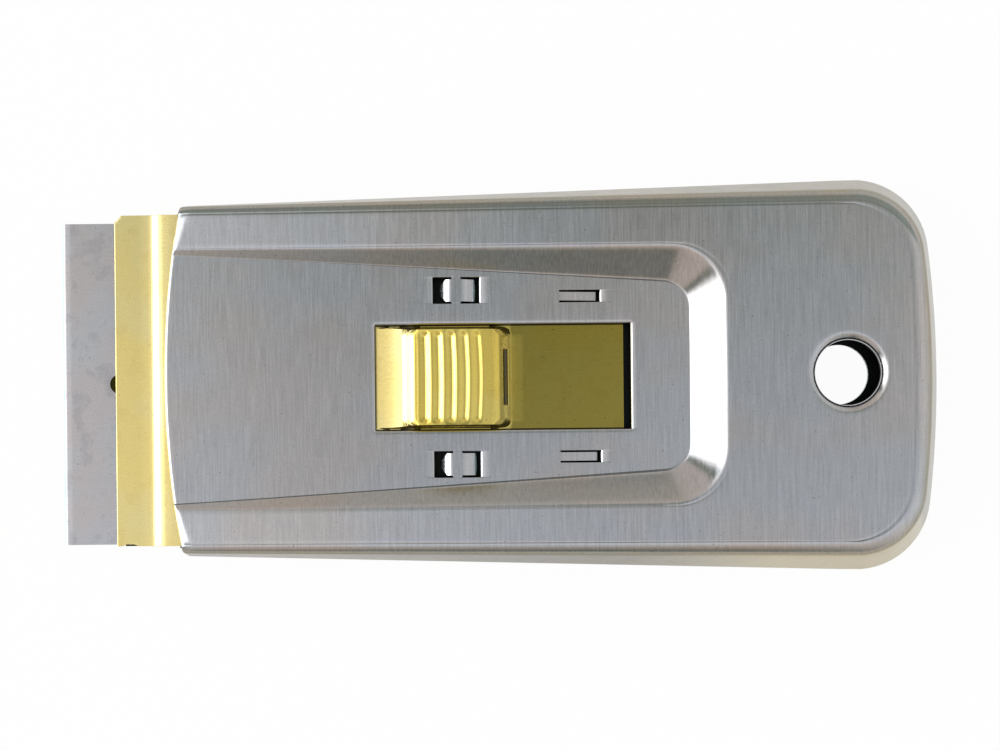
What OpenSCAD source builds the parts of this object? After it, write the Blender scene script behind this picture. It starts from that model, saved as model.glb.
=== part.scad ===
// Razor blade scraper: a pressed steel pocket scraper whose blade slides out on a carrier.
// Millimetres. X runs along the tool with the blade towards -X, Y across it and Z up.
// The origin is the middle of the flat underside of the body.

/* [Blade] */
// Length of the blade along its edge
blade_length = 38.1; // [34:0.1:50]
// Depth of the blade from its edge to its folded back
blade_depth = 19.05; // [17:0.05:21]
// Thickness of the blade strip
blade_strip = 0.23; // [0.15:0.01:0.4]
// Depth of the ground edge
blade_bevel = 0.9; // [0.4:0.05:2]
// Diameter of the small round hole in the blade
blade_hole = 2.3; // [1:0.1:4]
// Distance from the blade's edge to the middle of its hole
blade_hole_set = 6.65; // [5:0.05:9]
// Depth of the folded back of the blade
spine_depth = 5.5; // [4:0.1:7]
// Thickness over the folded back
spine_thickness = 1; // [0.8:0.05:1.5]

/* [Body] */
// Length of the body, without the blade
body_length = 91.8; // [88:0.1:110]
// How much the base widens towards the rear, on each side
base_flare = 2.45; // [1.2:0.05:4]
// How much the upper outline widens towards the rear, on each side
top_flare = 0.67; // [0.2:0.01:1.1]
// How far the side skirts lean in at the front edge
front_lean = 0.55; // [0.2:0.05:1]
// How far the rear skirt leans in
rear_lean = 2.4; // [1:0.1:4]
// Radius of the rear corners of the base
corner_radius = 9; // [6:0.5:12]
// Radius of the rear corners of the upper outline
top_corner_radius = 8; // [5:0.5:11]
// Radius of the bowed rear edge
rear_bow = 127; // [90:1:300]
// Radius of the bowed front edge
front_bow = 112; // [90:1:300]
// Thickness of the pressed upper sheet
shell_sheet = 0.7; // [0.5:0.05:0.9]
// Thickness of the bottom sheet
base_sheet = 0.6; // [0.4:0.05:1]
// Distance from the front edge of the body to that of the bottom sheet
base_set = 1.2; // [0.2:0.05:1.5]
// Outer radius of the bend above the skirts at the front edge
bend_front = 1; // [0.95:0.05:1.3]
// Outer radius of the same bend at the rear
bend_rear = 2.2; // [1.5:0.1:3]
// Height of the rims above the middle panel at the front edge
rim_rise = 0.25; // [0.1:0.05:1]
// Height that the rims gain along the body
rim_climb = 4.55; // [3:0.05:6.5]
// Depth of the sloped end of each rim at the front edge
facet_depth = 1.5; // [1:0.1:2.5]

/* [Sunk panel] */
// Width of each rim at the front edge
rim_width = 5.2; // [4:0.1:6.5]
// Distance from the front edge to the upper edge of the rear wall
recess_length = 66.5; // [65.5:0.1:69]
// Corner radius of the upper edge of the walls
recess_radius = 7.5; // [5:0.1:9]
// Plan width of each side wall at the front edge, without its bends
wall_front = 0.2; // [0.1:0.05:0.5]
// Plan width that each side wall gains towards the rear
wall_gain = 3.85; // [2.5:0.05:4.5]
// Least plan width of a wall, which its two bends take up
wall_bend = 0.65; // [0.4:0.05:0.9]
// Length of the level panel
panel_length = 61.7; // [60:0.1:63]
// Corner radius of the level panel
panel_radius = 4.3; // [3:0.1:6]

/* [Thumb window] */
// Width of the window
window_width = 12.35; // [12.2:0.05:14]
// Distance from the window's front end to the grip in the scraping position
window_play = 2.15; // [1:0.05:2.5]

/* [Lanced tabs] */
// Distance from the front edge to the guide tabs
guide_start = 31.8; // [29:0.1:35]
// Length of the cut-out round each guide tab
guide_length = 5.35; // [5:0.05:6]
// Width of each guide tab
guide_width = 3; // [2:0.1:3.5]
// Width of the bridge that carries both arms of a guide tab
guide_bridge = 1.1; // [0.6:0.1:1.6]
// Angle to which the front arms are bent down
front_arm_angle = 60; // [45:1:70]
// Angle to which the rear arms are bent down
rear_arm_angle = 32; // [28:1:60]
// Outer radius of their bend
guide_bend = 1.5; // [1.2:0.05:1.6]
// Distance from the front edge to the stop tabs
stop_start = 46.6; // [44:0.1:48]
// Length of each stop tab
stop_length = 4.6; // [3.5:0.1:5.5]
// Width of each stop tab
stop_width = 1.4; // [1:0.1:2]
// Length of the slot left open beyond a stop tab
stop_slot = 0.15; // [0.1:0.05:0.6]

/* [Hanging hole] */
// Diameter of the hanging hole
hole_diameter = 7.6; // [5:0.1:9]
// Diameter of the hole in the bottom sheet below it
base_hole = 7.1; // [5:0.1:9]
// Distance from the rear edge to the middle of the hanging hole
hole_from_rear = 11.85; // [11:0.05:14]
// Outer radius of the rolled lip's bend
lip_bend = 1; // [0.95:0.05:1.4]
// Depth of the rolled lip below the face
lip_depth = 1.7; // [1.5:0.1:2.5]

/* [Blade carrier] */
// Thickness of the carrier's sheet
slide_sheet = 0.6; // [0.4:0.05:0.8]
// Thickness of the clamp plate
clamp_sheet = 0.5; // [0.4:0.05:0.8]
// Distance that the blade stands out of the body in the scraping position
blade_reach = 12.25; // [11:0.05:13]
// Distance that the carrier's lip stands out of the body
lip_reach = 5.95; // [5:0.05:6.5]
// Distance from the lip's front edge to its bend line
lip_flat = 4.45; // [3.5:0.05:5]
// Length of the step behind the bend line
step_length = 0.8; // [0.5:0.05:1.2]
// Distance that the clamp plate's tongue stands out in front of the lip, below the blade's hole
tongue_lead = 0.9; // [0.2:0.05:1.5]
// Width of that tongue
tongue_width = 5; // [3:0.1:8]
// Distance from the end of the blade to the open end of the lip
open_margin = 0.2; // [0.1:0.05:0.6]
// Distance from the other end of the blade to the closed end of the lip
stop_margin = 0.9; // [0.8:0.05:1.5]
// Size of the chamfer at the lip's closed corner
lip_chamfer = 0.85; // [0.4:0.05:1.5]
// Depth of the shallow notch at the lip's open corner
notch_depth = 0.25; // [0.1:0.05:0.4]
// Length of that notch
notch_length = 2; // [1:0.1:2.6]
// Distance from the lip's front edge to the middle of that notch
notch_set = 1.55; // [1.3:0.05:2.5]
// Length of the wide part of the carrier behind the blade
rear_margin = 1.6; // [1:0.1:2.5]
// Length of the sloped shoulders between the wide part and the stem
shoulder_length = 1.5; // [0.5:0.1:3]
// Width of the stem
stem_width = 17.2; // [16:0.1:19]
// How far each ear stands out of the stem
ear_reach = 1.8; // [1:0.1:2.5]
// Length of the ears
ear_length = 2.9; // [2:0.05:3.5]
// Depth of the welded flange of the clamp plate
weld_depth = 4.4; // [3:0.1:6]
// Distance by which the closed blade lies inside the body
cover = 0.05; // [0.02:0.01:0.5]

/* [Thumb grip] */
// Distance from the front edge to the grip in the scraping position
grip_start = 27.05; // [26.5:0.05:28]
// Length of the grip's foot
grip_length = 13.85; // [12:0.05:14.5]
// Width of the grip's foot
grip_width = 11.9; // [10:0.05:12.1]
// Height of the grip above the stem
grip_rise = 2.35; // [1.8:0.05:3.5]
// How far the ends of the crown lie below its middle
crown_drop = 0.3; // [0.2:0.05:0.8]
// Length of the front slope
front_slope = 2.45; // [1.5:0.05:3]
// Length of the rear slope
rear_slope = 1.6; // [1.2:0.05:2.5]
// Number of grooves between the ribs
groove_count = 6; // [3:1:7]
// Distance from rib to rib
rib_pitch = 1.5; // [1:0.05:1.55]
// Distance from the front slope to the first rib
rib_set = 0.45; // [0.2:0.05:0.8]
// Depth of the grooves
rib_depth = 0.28; // [0.1:0.01:0.4]

/* [Spring] */
// Thickness of the leaf spring
spring_strip = 0.3; // [0.2:0.02:0.36]
// Width of the leaf spring
spring_width = 6.6; // [5:0.1:8]
// Length of the bowed part of the leaf spring
spring_length = 15; // [12:0.5:16]
// Radius of the bend below its hooked end
spring_bend = 0.6; // [0.4:0.05:0.8]
// Distance from the grip's rear end to the slot that holds the spring
slot_set = 0.68; // [0.5:0.02:0.9]

/* [Crimps] */
// Length of the crimped tabs along the skirt
crimp_length = 6; // [4:0.5:9]
// How far the crimped tabs reach under the bottom sheet
crimp_reach = 1.9; // [1.5:0.1:2.5]
// Distance from the front edge to the middle of the front pair of crimps
crimp_front = 34; // [32:0.5:38]
// Distance from the front edge to the middle of the rear pair of crimps
crimp_rear = 66; // [60:0.5:70]

/* [Fits] */
// Clearance above and below the carrier
run_gap = 0.1; // [0.05:0.01:0.15]
// Clearance of pieces that are held still
fit_gap = 0.05; // [0.03:0.01:0.08]
// Clearance of the carrier at its sides
side_gap = 0.15; // [0.12:0.01:0.4]
// Clearance of the tabs in their cut-outs
cut_gap = 0.06; // [0.04:0.01:0.1]
// Distance by which a cut runs past a face
overrun = 1; // [0.5:0.1:2]

/* [Smoothness] */
// Steps round each corner of the shell
corner_steps = 9; // [4:1:16]
// Steps over the bend above the skirts
bend_steps = 5; // [3:1:8]
// Steps along each side of the shell
side_steps = 5; // [3:1:10]
// Steps along half of the rear edge
rear_steps = 3; // [2:1:6]
// Steps along the front edge of the level panel
front_steps = 12; // [6:2:24]
// Facets of round holes
round_facets = 96; // [48:8:128]
// Steps across the thumb grip
grip_cross_steps = 14; // [8:2:24]
// Steps along each rib
rib_steps = 7; // [5:1:10]
// Steps along each slope of the grip
slope_steps = 6; // [4:1:10]
// Steps along the bowed spring
spring_steps = 20; // [12:2:32]

/* [Hidden] */

steel_colour = [0.62, 0.63, 0.65];
base_colour = [0.55, 0.56, 0.58];
yellow_colour = [0.86, 0.76, 0.42];
clamp_colour = [0.62, 0.54, 0.28];
blade_colour = [0.66, 0.64, 0.67];
spine_colour = [0.5, 0.5, 0.53];
spring_colour = [0.36, 0.38, 0.42];

// Shares of the size that they follow
corner_round_share = 0.22;
toe_share = 0.0625;
root_share = 0.5;
groove_fade_power = 4;
side_wall_power = 16;

// Heights of the layers, from the bottom sheet upwards
clamp_low = base_sheet + run_gap;
spine_low = clamp_low + clamp_sheet;
spine_top = spine_low + spine_thickness;
spine_fold = (spine_thickness - blade_strip) / 2;
blade_low = spine_low + spine_fold;
blade_top = blade_low + blade_strip;
slide_low = spine_top + fit_gap;
slide_top = slide_low + slide_sheet;
panel_low = slide_top + run_gap;
panel_top = panel_low + shell_sheet;
pocket_top = shell_sheet + fit_gap + base_sheet;

// Half widths at the front edge, from the blade outwards
slide_width = blade_length + open_margin + stop_margin;
blade_middle = open_margin - stop_margin;
top_half = slide_width / 2 + side_gap + shell_sheet - front_lean * (1 - slide_top / panel_top);
base_half = top_half + front_lean;
recess_half = top_half - rim_width;
panel_half = recess_half - wall_front;
guide_inner = stem_width / 2 + side_gap;

// Places along the tool, measured from the middle of the front edge
spine_back = blade_depth - blade_reach;
bend_line = lip_flat - lip_reach;
step_end = bend_line + step_length;
wide_end = spine_back + rear_margin;
stem_start = wide_end + shoulder_length;
grip_end = grip_start + grip_length;
travel = blade_reach + front_edge(slide_width / 2 - open_margin) + cover;
window_start = grip_start - window_play;
window_end = grip_end + travel - rear_slope * toe_share;
hole_at = body_length - hole_from_rear;
slot_at = grip_end - slot_set;

// The stop tabs are pressed down until their ends stand in front of the ears
stop_drop = panel_top - slide_top + fit_gap;
stop_angle = asin(stop_drop / stop_length);
stop_end = stop_start + stop_length * cos(stop_angle);
slide_end = stop_end + fit_gap + ear_length;

// Slopes of the outlines in plan and of the rims in height
straight_length = body_length - corner_radius;
base_slope = base_flare / straight_length;
top_slope = top_flare / straight_length;
wall_slope = wall_gain / panel_length;
climb = rim_climb / body_length;

function lerp(a, b, share) = a + (b - a) * share;
function unit(v) = v / norm(v);
function quad(a, b, c, d) = [[a, b, c], [a, c, d]];

// Distance of the bowed front edge behind its middle, at a distance y from the middle
function front_edge(y) = front_bow - sqrt(front_bow ^ 2 - y ^ 2);

// Height of the rim plane
function rim_top(x) = panel_top + rim_rise + climb * x;

// Middle of the corner arc that touches a sloping side and a bowed rear edge from inside
function corner_middle(half, slope, reach, radius, bow) =
    let (steep = 1 + slope ^ 2,
         rise = half - radius * sqrt(steep),
         middle = reach - bow,
         inner = bow - radius,
         b = rise * slope - middle,
         x = (sqrt(b ^ 2 - steep * (middle ^ 2 + rise ^ 2 - inner ^ 2)) - b) / steep)
    [x, rise + slope * x];

// Half of a U-shaped outline, from the front edge round one rear corner to the middle of the rear
function outline(half, slope, reach, radius, bow) =
    let (c = corner_middle(half, slope, reach, radius, bow),
         lean = atan(slope),
         start = front_edge(half),
         last = c.x - radius * sin(lean),
         turn = atan2(c.y, c.x - reach + bow),
         sides = [for (i = [0:side_steps])
                      i == 0 ? start
                             : lerp(start + facet_depth, last, (i - 1) / (side_steps - 1))])
    concat([for (x = sides) [x, half + slope * x]],
           [for (i = [1:corner_steps])
                let (a = lerp(90 + lean, turn, i / corner_steps))
                c + radius * [cos(a), sin(a)]],
           [for (i = [1:rear_steps])
                let (a = turn * (1 - i / rear_steps))
                [reach - bow + bow * cos(a), bow * sin(a)]]);

base_line = outline(base_half, base_slope, body_length, corner_radius, rear_bow);
top_line = outline(top_half, top_slope, body_length - rear_lean, top_corner_radius, rear_bow);
recess_line = outline(recess_half, 0, recess_length, recess_radius, body_length * front_steps);
panel_line = outline(panel_half, -wall_slope, panel_length, panel_radius,
                     body_length * front_steps);
stations = len(base_line);
full = 2 * stations - 1;

// Arc of radius r in the corner v1 between v0 and v2
function bend_arc(v0, v1, v2, r) =
    let (d0 = unit(v0 - v1),
         d2 = unit(v2 - v1),
         half = acos(d0 * d2) / 2,
         middle = v1 + unit(d0 + d2) * r / sin(half),
         p0 = v1 + d0 * r / tan(half) - middle,
         p2 = v1 + d2 * r / tan(half) - middle,
         a0 = atan2(p0.y, p0.x),
         a2 = atan2(p2.y, p2.x))
    [for (i = [0:bend_steps])
         let (a = lerp(a0, a2, i / bend_steps))
         middle + r * [cos(a), sin(a)]];

// Section through skirt and rim at one station: distance inwards from the base line, and height.
// A depth of zero gives the outer face, and the sheet's thickness gives the inner face.
function skirt_section(i, depth) =
    let (foot = base_line[i],
         head = top_line[i],
         run = norm(head - foot),
         rise = i == 0 ? panel_top : rim_top(head.x),
         fall = i == 0 ? 0 : climb * (head.x - foot.x) / run,
         v0 = [0, 0],
         v1 = [run, rise],
         v2 = v1 + corner_radius * [1, fall],
         n0 = unit([v1.y, -v1.x]),
         n2 = unit([fall, -1]),
         corner = v1 + depth * (n0 + n2) / (1 + n0 * n2),
         start = [depth * norm(v1) / v1.y, 0],
         r = lerp(bend_front, bend_rear, head.x / body_length) - depth)
    concat([start], bend_arc(start, corner, v2 + depth * n2, r));

function skirt_points(i, depth) =
    let (foot = base_line[i],
         inwards = unit(top_line[i] - foot))
    [for (p = skirt_section(i, depth))
         [foot.x + inwards.x * p.x, foot.y + inwards.y * p.x, p.y]];

// Share of the rim's height at share u of the wall's plan width, with both bends rounded,
// and how fast it falls there
round_by = corner_round_share;
function ramp(u) = u <= -round_by ? 1
                 : u < round_by ? 1 - (u + round_by) ^ 2 / (4 * round_by)
                 : u <= 1 - round_by ? 1 - u
                 : u < 1 + round_by ? (1 + round_by - u) ^ 2 / (4 * round_by)
                 : 0;
function ramp_fall(u) = u <= -round_by ? 0
                      : u < round_by ? (u + round_by) / (2 * round_by)
                      : u <= 1 - round_by ? 1
                      : u < 1 + round_by ? (1 + round_by - u) / (2 * round_by)
                      : 0;
wall_shares = [-round_by, -round_by / 3, round_by / 3, round_by, 0.5,
               1 - round_by, 1 - round_by / 3, 1 + round_by / 3, 1 + round_by];

function wall_points(i, depth) =
    let (head = recess_line[i],
         way = panel_line[i] - head,
         run = norm([norm(way), wall_bend]),
         foot = head + run * unit(way))
    [for (u = wall_shares)
         let (p = lerp(head, foot, u),
              rise = i == 0 ? 0 : rim_top(p.x) - panel_top,
              slant = norm([1, rise * ramp_fall(u) / run]))
         [p.x, p.y, max(panel_low, panel_top + rise * ramp(u) - depth * slant)]];

function station_points(i, depth) = concat(skirt_points(i, depth), wall_points(i, depth));
function mirrored(half) = concat(half, [for (i = [len(half) - 2:-1:0])
                                            [for (p = half[i]) [p.x, -p.y, p.z]]]);

// The pressed sheet, without its cut-outs: outer face, inner face and the edges between them
module pressed_sheet() {
    outer = mirrored([for (i = [0:stations - 1]) station_points(i, 0)]);
    inner = mirrored([for (i = [0:stations - 1]) station_points(i, shell_sheet)]);
    rings = len(outer[0]);
    first = outer[0][rings - 1];
    front_y = [for (i = [1:front_steps - 1]) lerp(-first.y, first.y, i / front_steps)];
    points = concat([for (k = [0:rings - 1]) for (j = [0:full - 1]) outer[j][k]],
                    [for (k = [0:rings - 1]) for (j = [0:full - 1]) inner[j][k]],
                    [for (y = front_y) [front_edge(y), y, panel_top]],
                    [for (y = front_y) [front_edge(y), y, panel_low]]);
    shift = rings * full;
    tail = (rings - 1) * full;
    edge = concat([tail + full - 1], [for (i = [0:front_steps - 2]) 2 * shift + i], [tail]);
    under = concat([shift + tail + full - 1],
                   [for (i = [0:front_steps - 2]) 2 * shift + front_steps - 1 + i],
                   [shift + tail]);
    faces = concat(
        [for (k = [0:rings - 2]) for (j = [0:full - 2])
             let (a = k * full + j)
             each quad(a, a + 1, a + full + 1, a + full)],
        [for (k = [0:rings - 2]) for (j = [0:full - 2])
             let (a = shift + k * full + j)
             each quad(a, a + full, a + full + 1, a + 1)],
        [for (j = [0:full - 2]) each quad(j + 1, j, shift + j, shift + j + 1)],
        [for (k = [0:rings - 2])
             let (a = k * full, b = a + full)
             each quad(a, b, shift + b, shift + a)],
        [for (k = [0:rings - 2])
             let (a = k * full + full - 1, b = a + full)
             each quad(b, a, shift + a, shift + b)],
        [for (i = [0:front_steps - 1])
             each quad(edge[i + 1], edge[i], under[i], under[i + 1])],
        [concat([for (j = [0:full - 1]) tail + j],
                [for (i = [1:front_steps - 1]) edge[i]])],
        [concat([for (j = [full - 1:-1:0]) shift + tail + j],
                [for (i = [front_steps - 1:-1:1]) under[i]])]);
    polyhedron(points, faces, convexity = 6);
}

module from_front() {
    translate([-body_length / 2, 0, 0]) children();
}

// A profile in X and Z, drawn out along Y about its middle
module drawn_across(width, middle = 0) {
    translate([0, middle, 0]) rotate([90, 0, 0])
        linear_extrude(width, center = true) children();
}

module both_sides() {
    children();
    mirror([0, 1, 0]) children();
}

// Frames on the base line for the crimps: X along the edge and Y inwards
module at_crimps() {
    both_sides()
        for (x = [crimp_front, crimp_rear])
            translate([x, base_half + base_slope * x, 0])
                rotate(180 + atan(base_slope)) children();
    translate([body_length, 0, 0]) rotate(90) children();
}

// The hanging hole is punched square to the sloping face
module at_hole() {
    translate([hole_at, 0, rim_top(hole_at)]) rotate([0, -atan(climb), 0]) children();
}

module rolled_lip() {
    r = hole_diameter / 2;
    outer = [for (i = [0:bend_steps])
                 let (a = lerp(90, 180, i / bend_steps))
                 [r + lip_bend + lip_bend * cos(a), lip_bend * (sin(a) - 1)]];
    small = lip_bend - shell_sheet;
    inner = [for (i = [0:bend_steps])
                 let (a = lerp(180, 90, i / bend_steps))
                 [r + lip_bend + small * cos(a), small * sin(a) - lip_bend]];
    rotate_extrude($fn = round_facets)
        polygon(concat(outer, [[r, -lip_depth], [r + shell_sheet, -lip_depth]], inner));
}

// One arm of a guide tab, bent down from the bridge towards -X
module guide_arm(root, angle) {
    reach = (guide_length - guide_bridge) / 2 - cut_gap;
    straight = reach - guide_bend * angle * PI / 180;
    middle = [root, panel_top - guide_bend];
    way = [-cos(angle), -sin(angle)];
    outer = [for (i = [0:bend_steps])
                 let (a = angle * i / bend_steps)
                 middle + guide_bend * [-sin(a), cos(a)]];
    inner = [for (i = [bend_steps:-1:0])
                 let (a = angle * i / bend_steps)
                 middle + (guide_bend - shell_sheet) * [-sin(a), cos(a)]];
    drawn_across(guide_width - 2 * cut_gap, guide_inner + guide_width / 2)
        polygon(concat([[root + guide_bridge * root_share, panel_top]], outer,
                       [outer[bend_steps] + straight * way, inner[0] + straight * way], inner,
                       [[root + guide_bridge * root_share, panel_low]]));
}

module guide_tabs() {
    middle = guide_start + guide_length / 2;
    both_sides() {
        guide_arm(middle - guide_bridge / 2, front_arm_angle);
        translate([2 * middle, 0, 0]) mirror([1, 0, 0])
            guide_arm(middle - guide_bridge / 2, rear_arm_angle);
    }
}

module guide_cuts() {
    arm = (guide_length - guide_bridge) / 2;
    both_sides()
        for (x = [guide_start, guide_start + guide_length - arm])
            translate([x, guide_inner, panel_low - overrun])
                cube([arm, guide_width, shell_sheet + 2 * overrun]);
}

module stop_tabs() {
    root = [stop_start, panel_top];
    way = [cos(stop_angle), -sin(stop_angle)];
    down = [-sin(stop_angle), -cos(stop_angle)];
    tip = root + stop_length * way;
    both_sides()
        drawn_across(stop_width - 2 * cut_gap, guide_inner + stop_width / 2)
            polygon([root - [shell_sheet * root_share, 0], root, tip, tip + shell_sheet * down,
                     [stop_start - shell_sheet * tan(stop_angle / 2), panel_low],
                     [stop_start - shell_sheet * root_share, panel_low]]);
}

module stop_cuts() {
    both_sides()
        translate([stop_start, guide_inner, panel_low - overrun])
            cube([stop_length + stop_slot, stop_width, shell_sheet + 2 * overrun]);
}

module crimp_tab() {
    translate([-crimp_length / 2, shell_sheet * root_share, 0])
        cube([crimp_length, shell_sheet * (1 - root_share) + crimp_reach, shell_sheet]);
}

module top_shell() color(steel_colour) from_front() {
    difference() {
        pressed_sheet();
        translate([window_start, -window_width / 2, panel_low - overrun])
            cube([window_end - window_start, window_width, shell_sheet + 2 * overrun]);
        guide_cuts();
        stop_cuts();
        at_hole() cylinder(r = hole_diameter / 2 + lip_bend, h = 2 * lip_depth, center = true,
                           $fn = round_facets);
    }
    at_hole() rolled_lip();
    guide_tabs();
    stop_tabs();
    at_crimps() crimp_tab();
}

// Distance inwards from the base line at which a piece of height z clears the leaning skirts
lean_ratio = rear_lean / (rim_top(body_length) - climb * rear_lean);
function clear_inset(z) = shell_sheet * norm([1, lean_ratio]) + lean_ratio * z + run_gap;

module base_outline(inset) {
    half = [for (i = [1:stations - 1]) base_line[i] + inset * unit(top_line[i] - base_line[i])];
    side = [[base_set, half[0].y - base_slope * (half[0].x - base_set)]];
    ring = concat(side, half);
    polygon(concat(ring, [for (i = [len(ring) - 2:-1:0]) [ring[i].x, -ring[i].y]]));
}

// A pocket pressed up into the bottom sheet, which lets a crimped tab lie flush
module crimp_pocket(grow) {
    long = crimp_length + 2 * fit_gap + 2 * grow;
    translate([-long / 2, -overrun, 0])
        cube([long, overrun + shell_sheet + crimp_reach + fit_gap + grow,
              shell_sheet + fit_gap + grow]);
}

module bottom_plate() color(base_colour) from_front() {
    difference() {
        union() {
            linear_extrude(base_sheet) base_outline(clear_inset(base_sheet));
            intersection() {
                linear_extrude(pocket_top) base_outline(clear_inset(pocket_top));
                at_crimps() crimp_pocket(base_sheet);
            }
        }
        translate([0, 0, -overrun]) at_crimps() crimp_pocket(0);
        at_crimps() crimp_pocket(0);
        translate([hole_at, 0, -overrun])
            cylinder(d = base_hole, h = base_sheet + 2 * overrun, $fn = round_facets);
    }
}

// Height of the thumb grip above the stem
crown_length = grip_length - front_slope - rear_slope;
last_rib = front_slope + rib_set + groove_count * rib_pitch;
function ease(u) = u ^ 2 * (3 - 2 * u);
function crown(x) = grip_rise - crown_drop * ((2 * (x - front_slope) / crown_length) - 1) ^ 2;
function along_grip(x) =
    x < front_slope ? crown(front_slope) * ease(x / front_slope)
    : x > grip_length - rear_slope ? crown(front_slope) * ease((grip_length - x) / rear_slope)
    : crown(x);
function groove(x) =
    x <= front_slope || x >= last_rib ? 0
    : rib_depth * (1 - cos(360 * (x - front_slope - rib_set) / rib_pitch)) / 2;
function grip_height(x, across) =
    along_grip(x) * (1 - abs(across) ^ side_wall_power)
    - groove(x) * (1 - abs(across) ^ groove_fade_power);

// The domed and ribbed sheet of the grip, on a grid of stations along and across
module grip_dome() {
    rib_start = front_slope + rib_pitch / (2 * rib_steps);
    ribs = groove_count * rib_steps;
    xs = concat([for (i = [0:slope_steps]) front_slope * i / slope_steps],
                [for (i = [0:ribs]) lerp(rib_start, last_rib, i / ribs)],
                [for (i = [0:slope_steps])
                     grip_length - rear_slope * (1 - i / slope_steps)]);
    ys = [for (j = [0:grip_cross_steps]) -cos(180 * j / grip_cross_steps)];
    nx = len(xs);
    ny = len(ys);
    half = grip_width / 2;
    shrink = (grip_length - 2 * slide_sheet) / grip_length;
    border = concat([for (i = [0:nx - 2]) i * ny],
                    [for (j = [0:ny - 2]) (nx - 1) * ny + j],
                    [for (i = [nx - 1:-1:1]) i * ny + ny - 1],
                    [for (j = [ny - 1:-1:1]) j]);
    top = [for (x = xs) for (y = ys) [grip_start + x, half * y, slide_top + grip_height(x, y)]];
    inner = [for (x = xs) for (y = ys)
                 [grip_start + slide_sheet + x * shrink, (half - slide_sheet) * y,
                  slide_low + grip_height(x, y)]];
    count = nx * ny;
    rim = len(border);
    foot = [for (k = border) [top[k].x, top[k].y, slide_low]];
    faces = concat(
        [for (i = [0:nx - 2]) for (j = [0:ny - 2])
             let (a = i * ny + j)
             each quad(a, a + 1, a + ny + 1, a + ny)],
        [for (i = [0:nx - 2]) for (j = [0:ny - 2])
             let (a = count + i * ny + j)
             each quad(a, a + ny, a + ny + 1, a + 1)],
        [for (k = [0:rim - 1])
             let (n = (k + 1) % rim)
             each quad(border[k], border[n], 2 * count + n, 2 * count + k)],
        [for (k = [0:rim - 1])
             let (n = (k + 1) % rim)
             each quad(2 * count + k, 2 * count + n, count + border[n], count + border[k])]);
    polyhedron(concat(top, inner, foot), faces, convexity = 8);
}

module carrier_plan() {
    half = slide_width / 2;
    stem = stem_width / 2;
    ear = stem + ear_reach;
    ring = [[step_end, half], [wide_end, half], [stem_start, stem],
            [slide_end - ear_length, stem], [slide_end - ear_length, ear], [slide_end, ear]];
    polygon(concat(ring, [for (i = [len(ring) - 1:-1:0]) [ring[i].x, -ring[i].y]]));
}

// The lip lies on the blade and steps up behind its bend line to clear the folded back
module lip() {
    lip_low = blade_top;
    drawn_across(slide_width)
        polygon([[-lip_reach, lip_low], [bend_line, lip_low], [step_end, slide_low],
                 [step_end, slide_top], [bend_line, lip_low + slide_sheet],
                 [-lip_reach, lip_low + slide_sheet]]);
}

module lip_cuts() {
    notch_radius = (notch_length ^ 2 / 4 + notch_depth ^ 2) / (2 * notch_depth);
    translate([-lip_reach, slide_width / 2, blade_low]) rotate(45)
        cube([2 * lip_chamfer / sqrt(2), 4 * lip_chamfer, 2 * slide_top], center = true);
    translate([notch_set - lip_reach, notch_depth - notch_radius - slide_width / 2, 0])
        cylinder(r = notch_radius, h = slide_top, $fn = round_facets);
}

module blade_carrier() color(yellow_colour) from_front() {
    difference() {
        union() {
            difference() {
                translate([0, 0, slide_low]) linear_extrude(slide_sheet) carrier_plan();
                translate([grip_start, -grip_width / 2, slide_low - overrun])
                    cube([grip_length, grip_width, slide_sheet + 2 * overrun]);
            }
            lip();
            grip_dome();
        }
        lip_cuts();
        translate([slot_at - spring_strip / 2 - fit_gap, -spring_width / 2 - side_gap,
                   slide_low - overrun])
            cube([spring_strip + 2 * fit_gap, spring_width + 2 * side_gap,
                  overrun + slide_sheet + grip_rise]);
    }
}

// The lower jaw: a lip under the blade, a floor under the folded back and a welded flange
module clamp_plate() color(clamp_colour) from_front() {
    lip_top = blade_low;
    floor_end = spine_back + fit_gap + spine_fold;
    flange_start = floor_end + slide_low - spine_low;
    flange_end = flange_start + weld_depth;
    front = lip_chamfer - lip_reach;
    drawn_across(slide_width)
        polygon([[front, lip_top], [bend_line, lip_top], [step_end, spine_low],
                 [floor_end, spine_low], [flange_start, slide_low], [flange_end, slide_low],
                 [flange_end, slide_low - clamp_sheet],
                 [flange_start + clamp_sheet * root_share, slide_low - clamp_sheet],
                 [floor_end + clamp_sheet * root_share, clamp_low], [step_end, clamp_low],
                 [bend_line, lip_top - clamp_sheet], [front, lip_top - clamp_sheet]]);
    translate([-lip_reach - tongue_lead, blade_middle / 2 - tongue_width / 2,
               lip_top - clamp_sheet])
        cube([tongue_lead + 2 * lip_chamfer, tongue_width, clamp_sheet]);
    stop_wall = slide_width / 2 - stop_margin + fit_gap;
    drawn_across(clamp_sheet, stop_wall + clamp_sheet / 2)
        polygon([[lip_chamfer - lip_reach, blade_low], [bend_line, blade_low],
                 [step_end, spine_low], [spine_back, spine_low],
                 [spine_back, spine_top], [step_end, spine_top],
                 [bend_line, blade_top], [lip_chamfer - lip_reach, blade_top]]);
}

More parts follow.
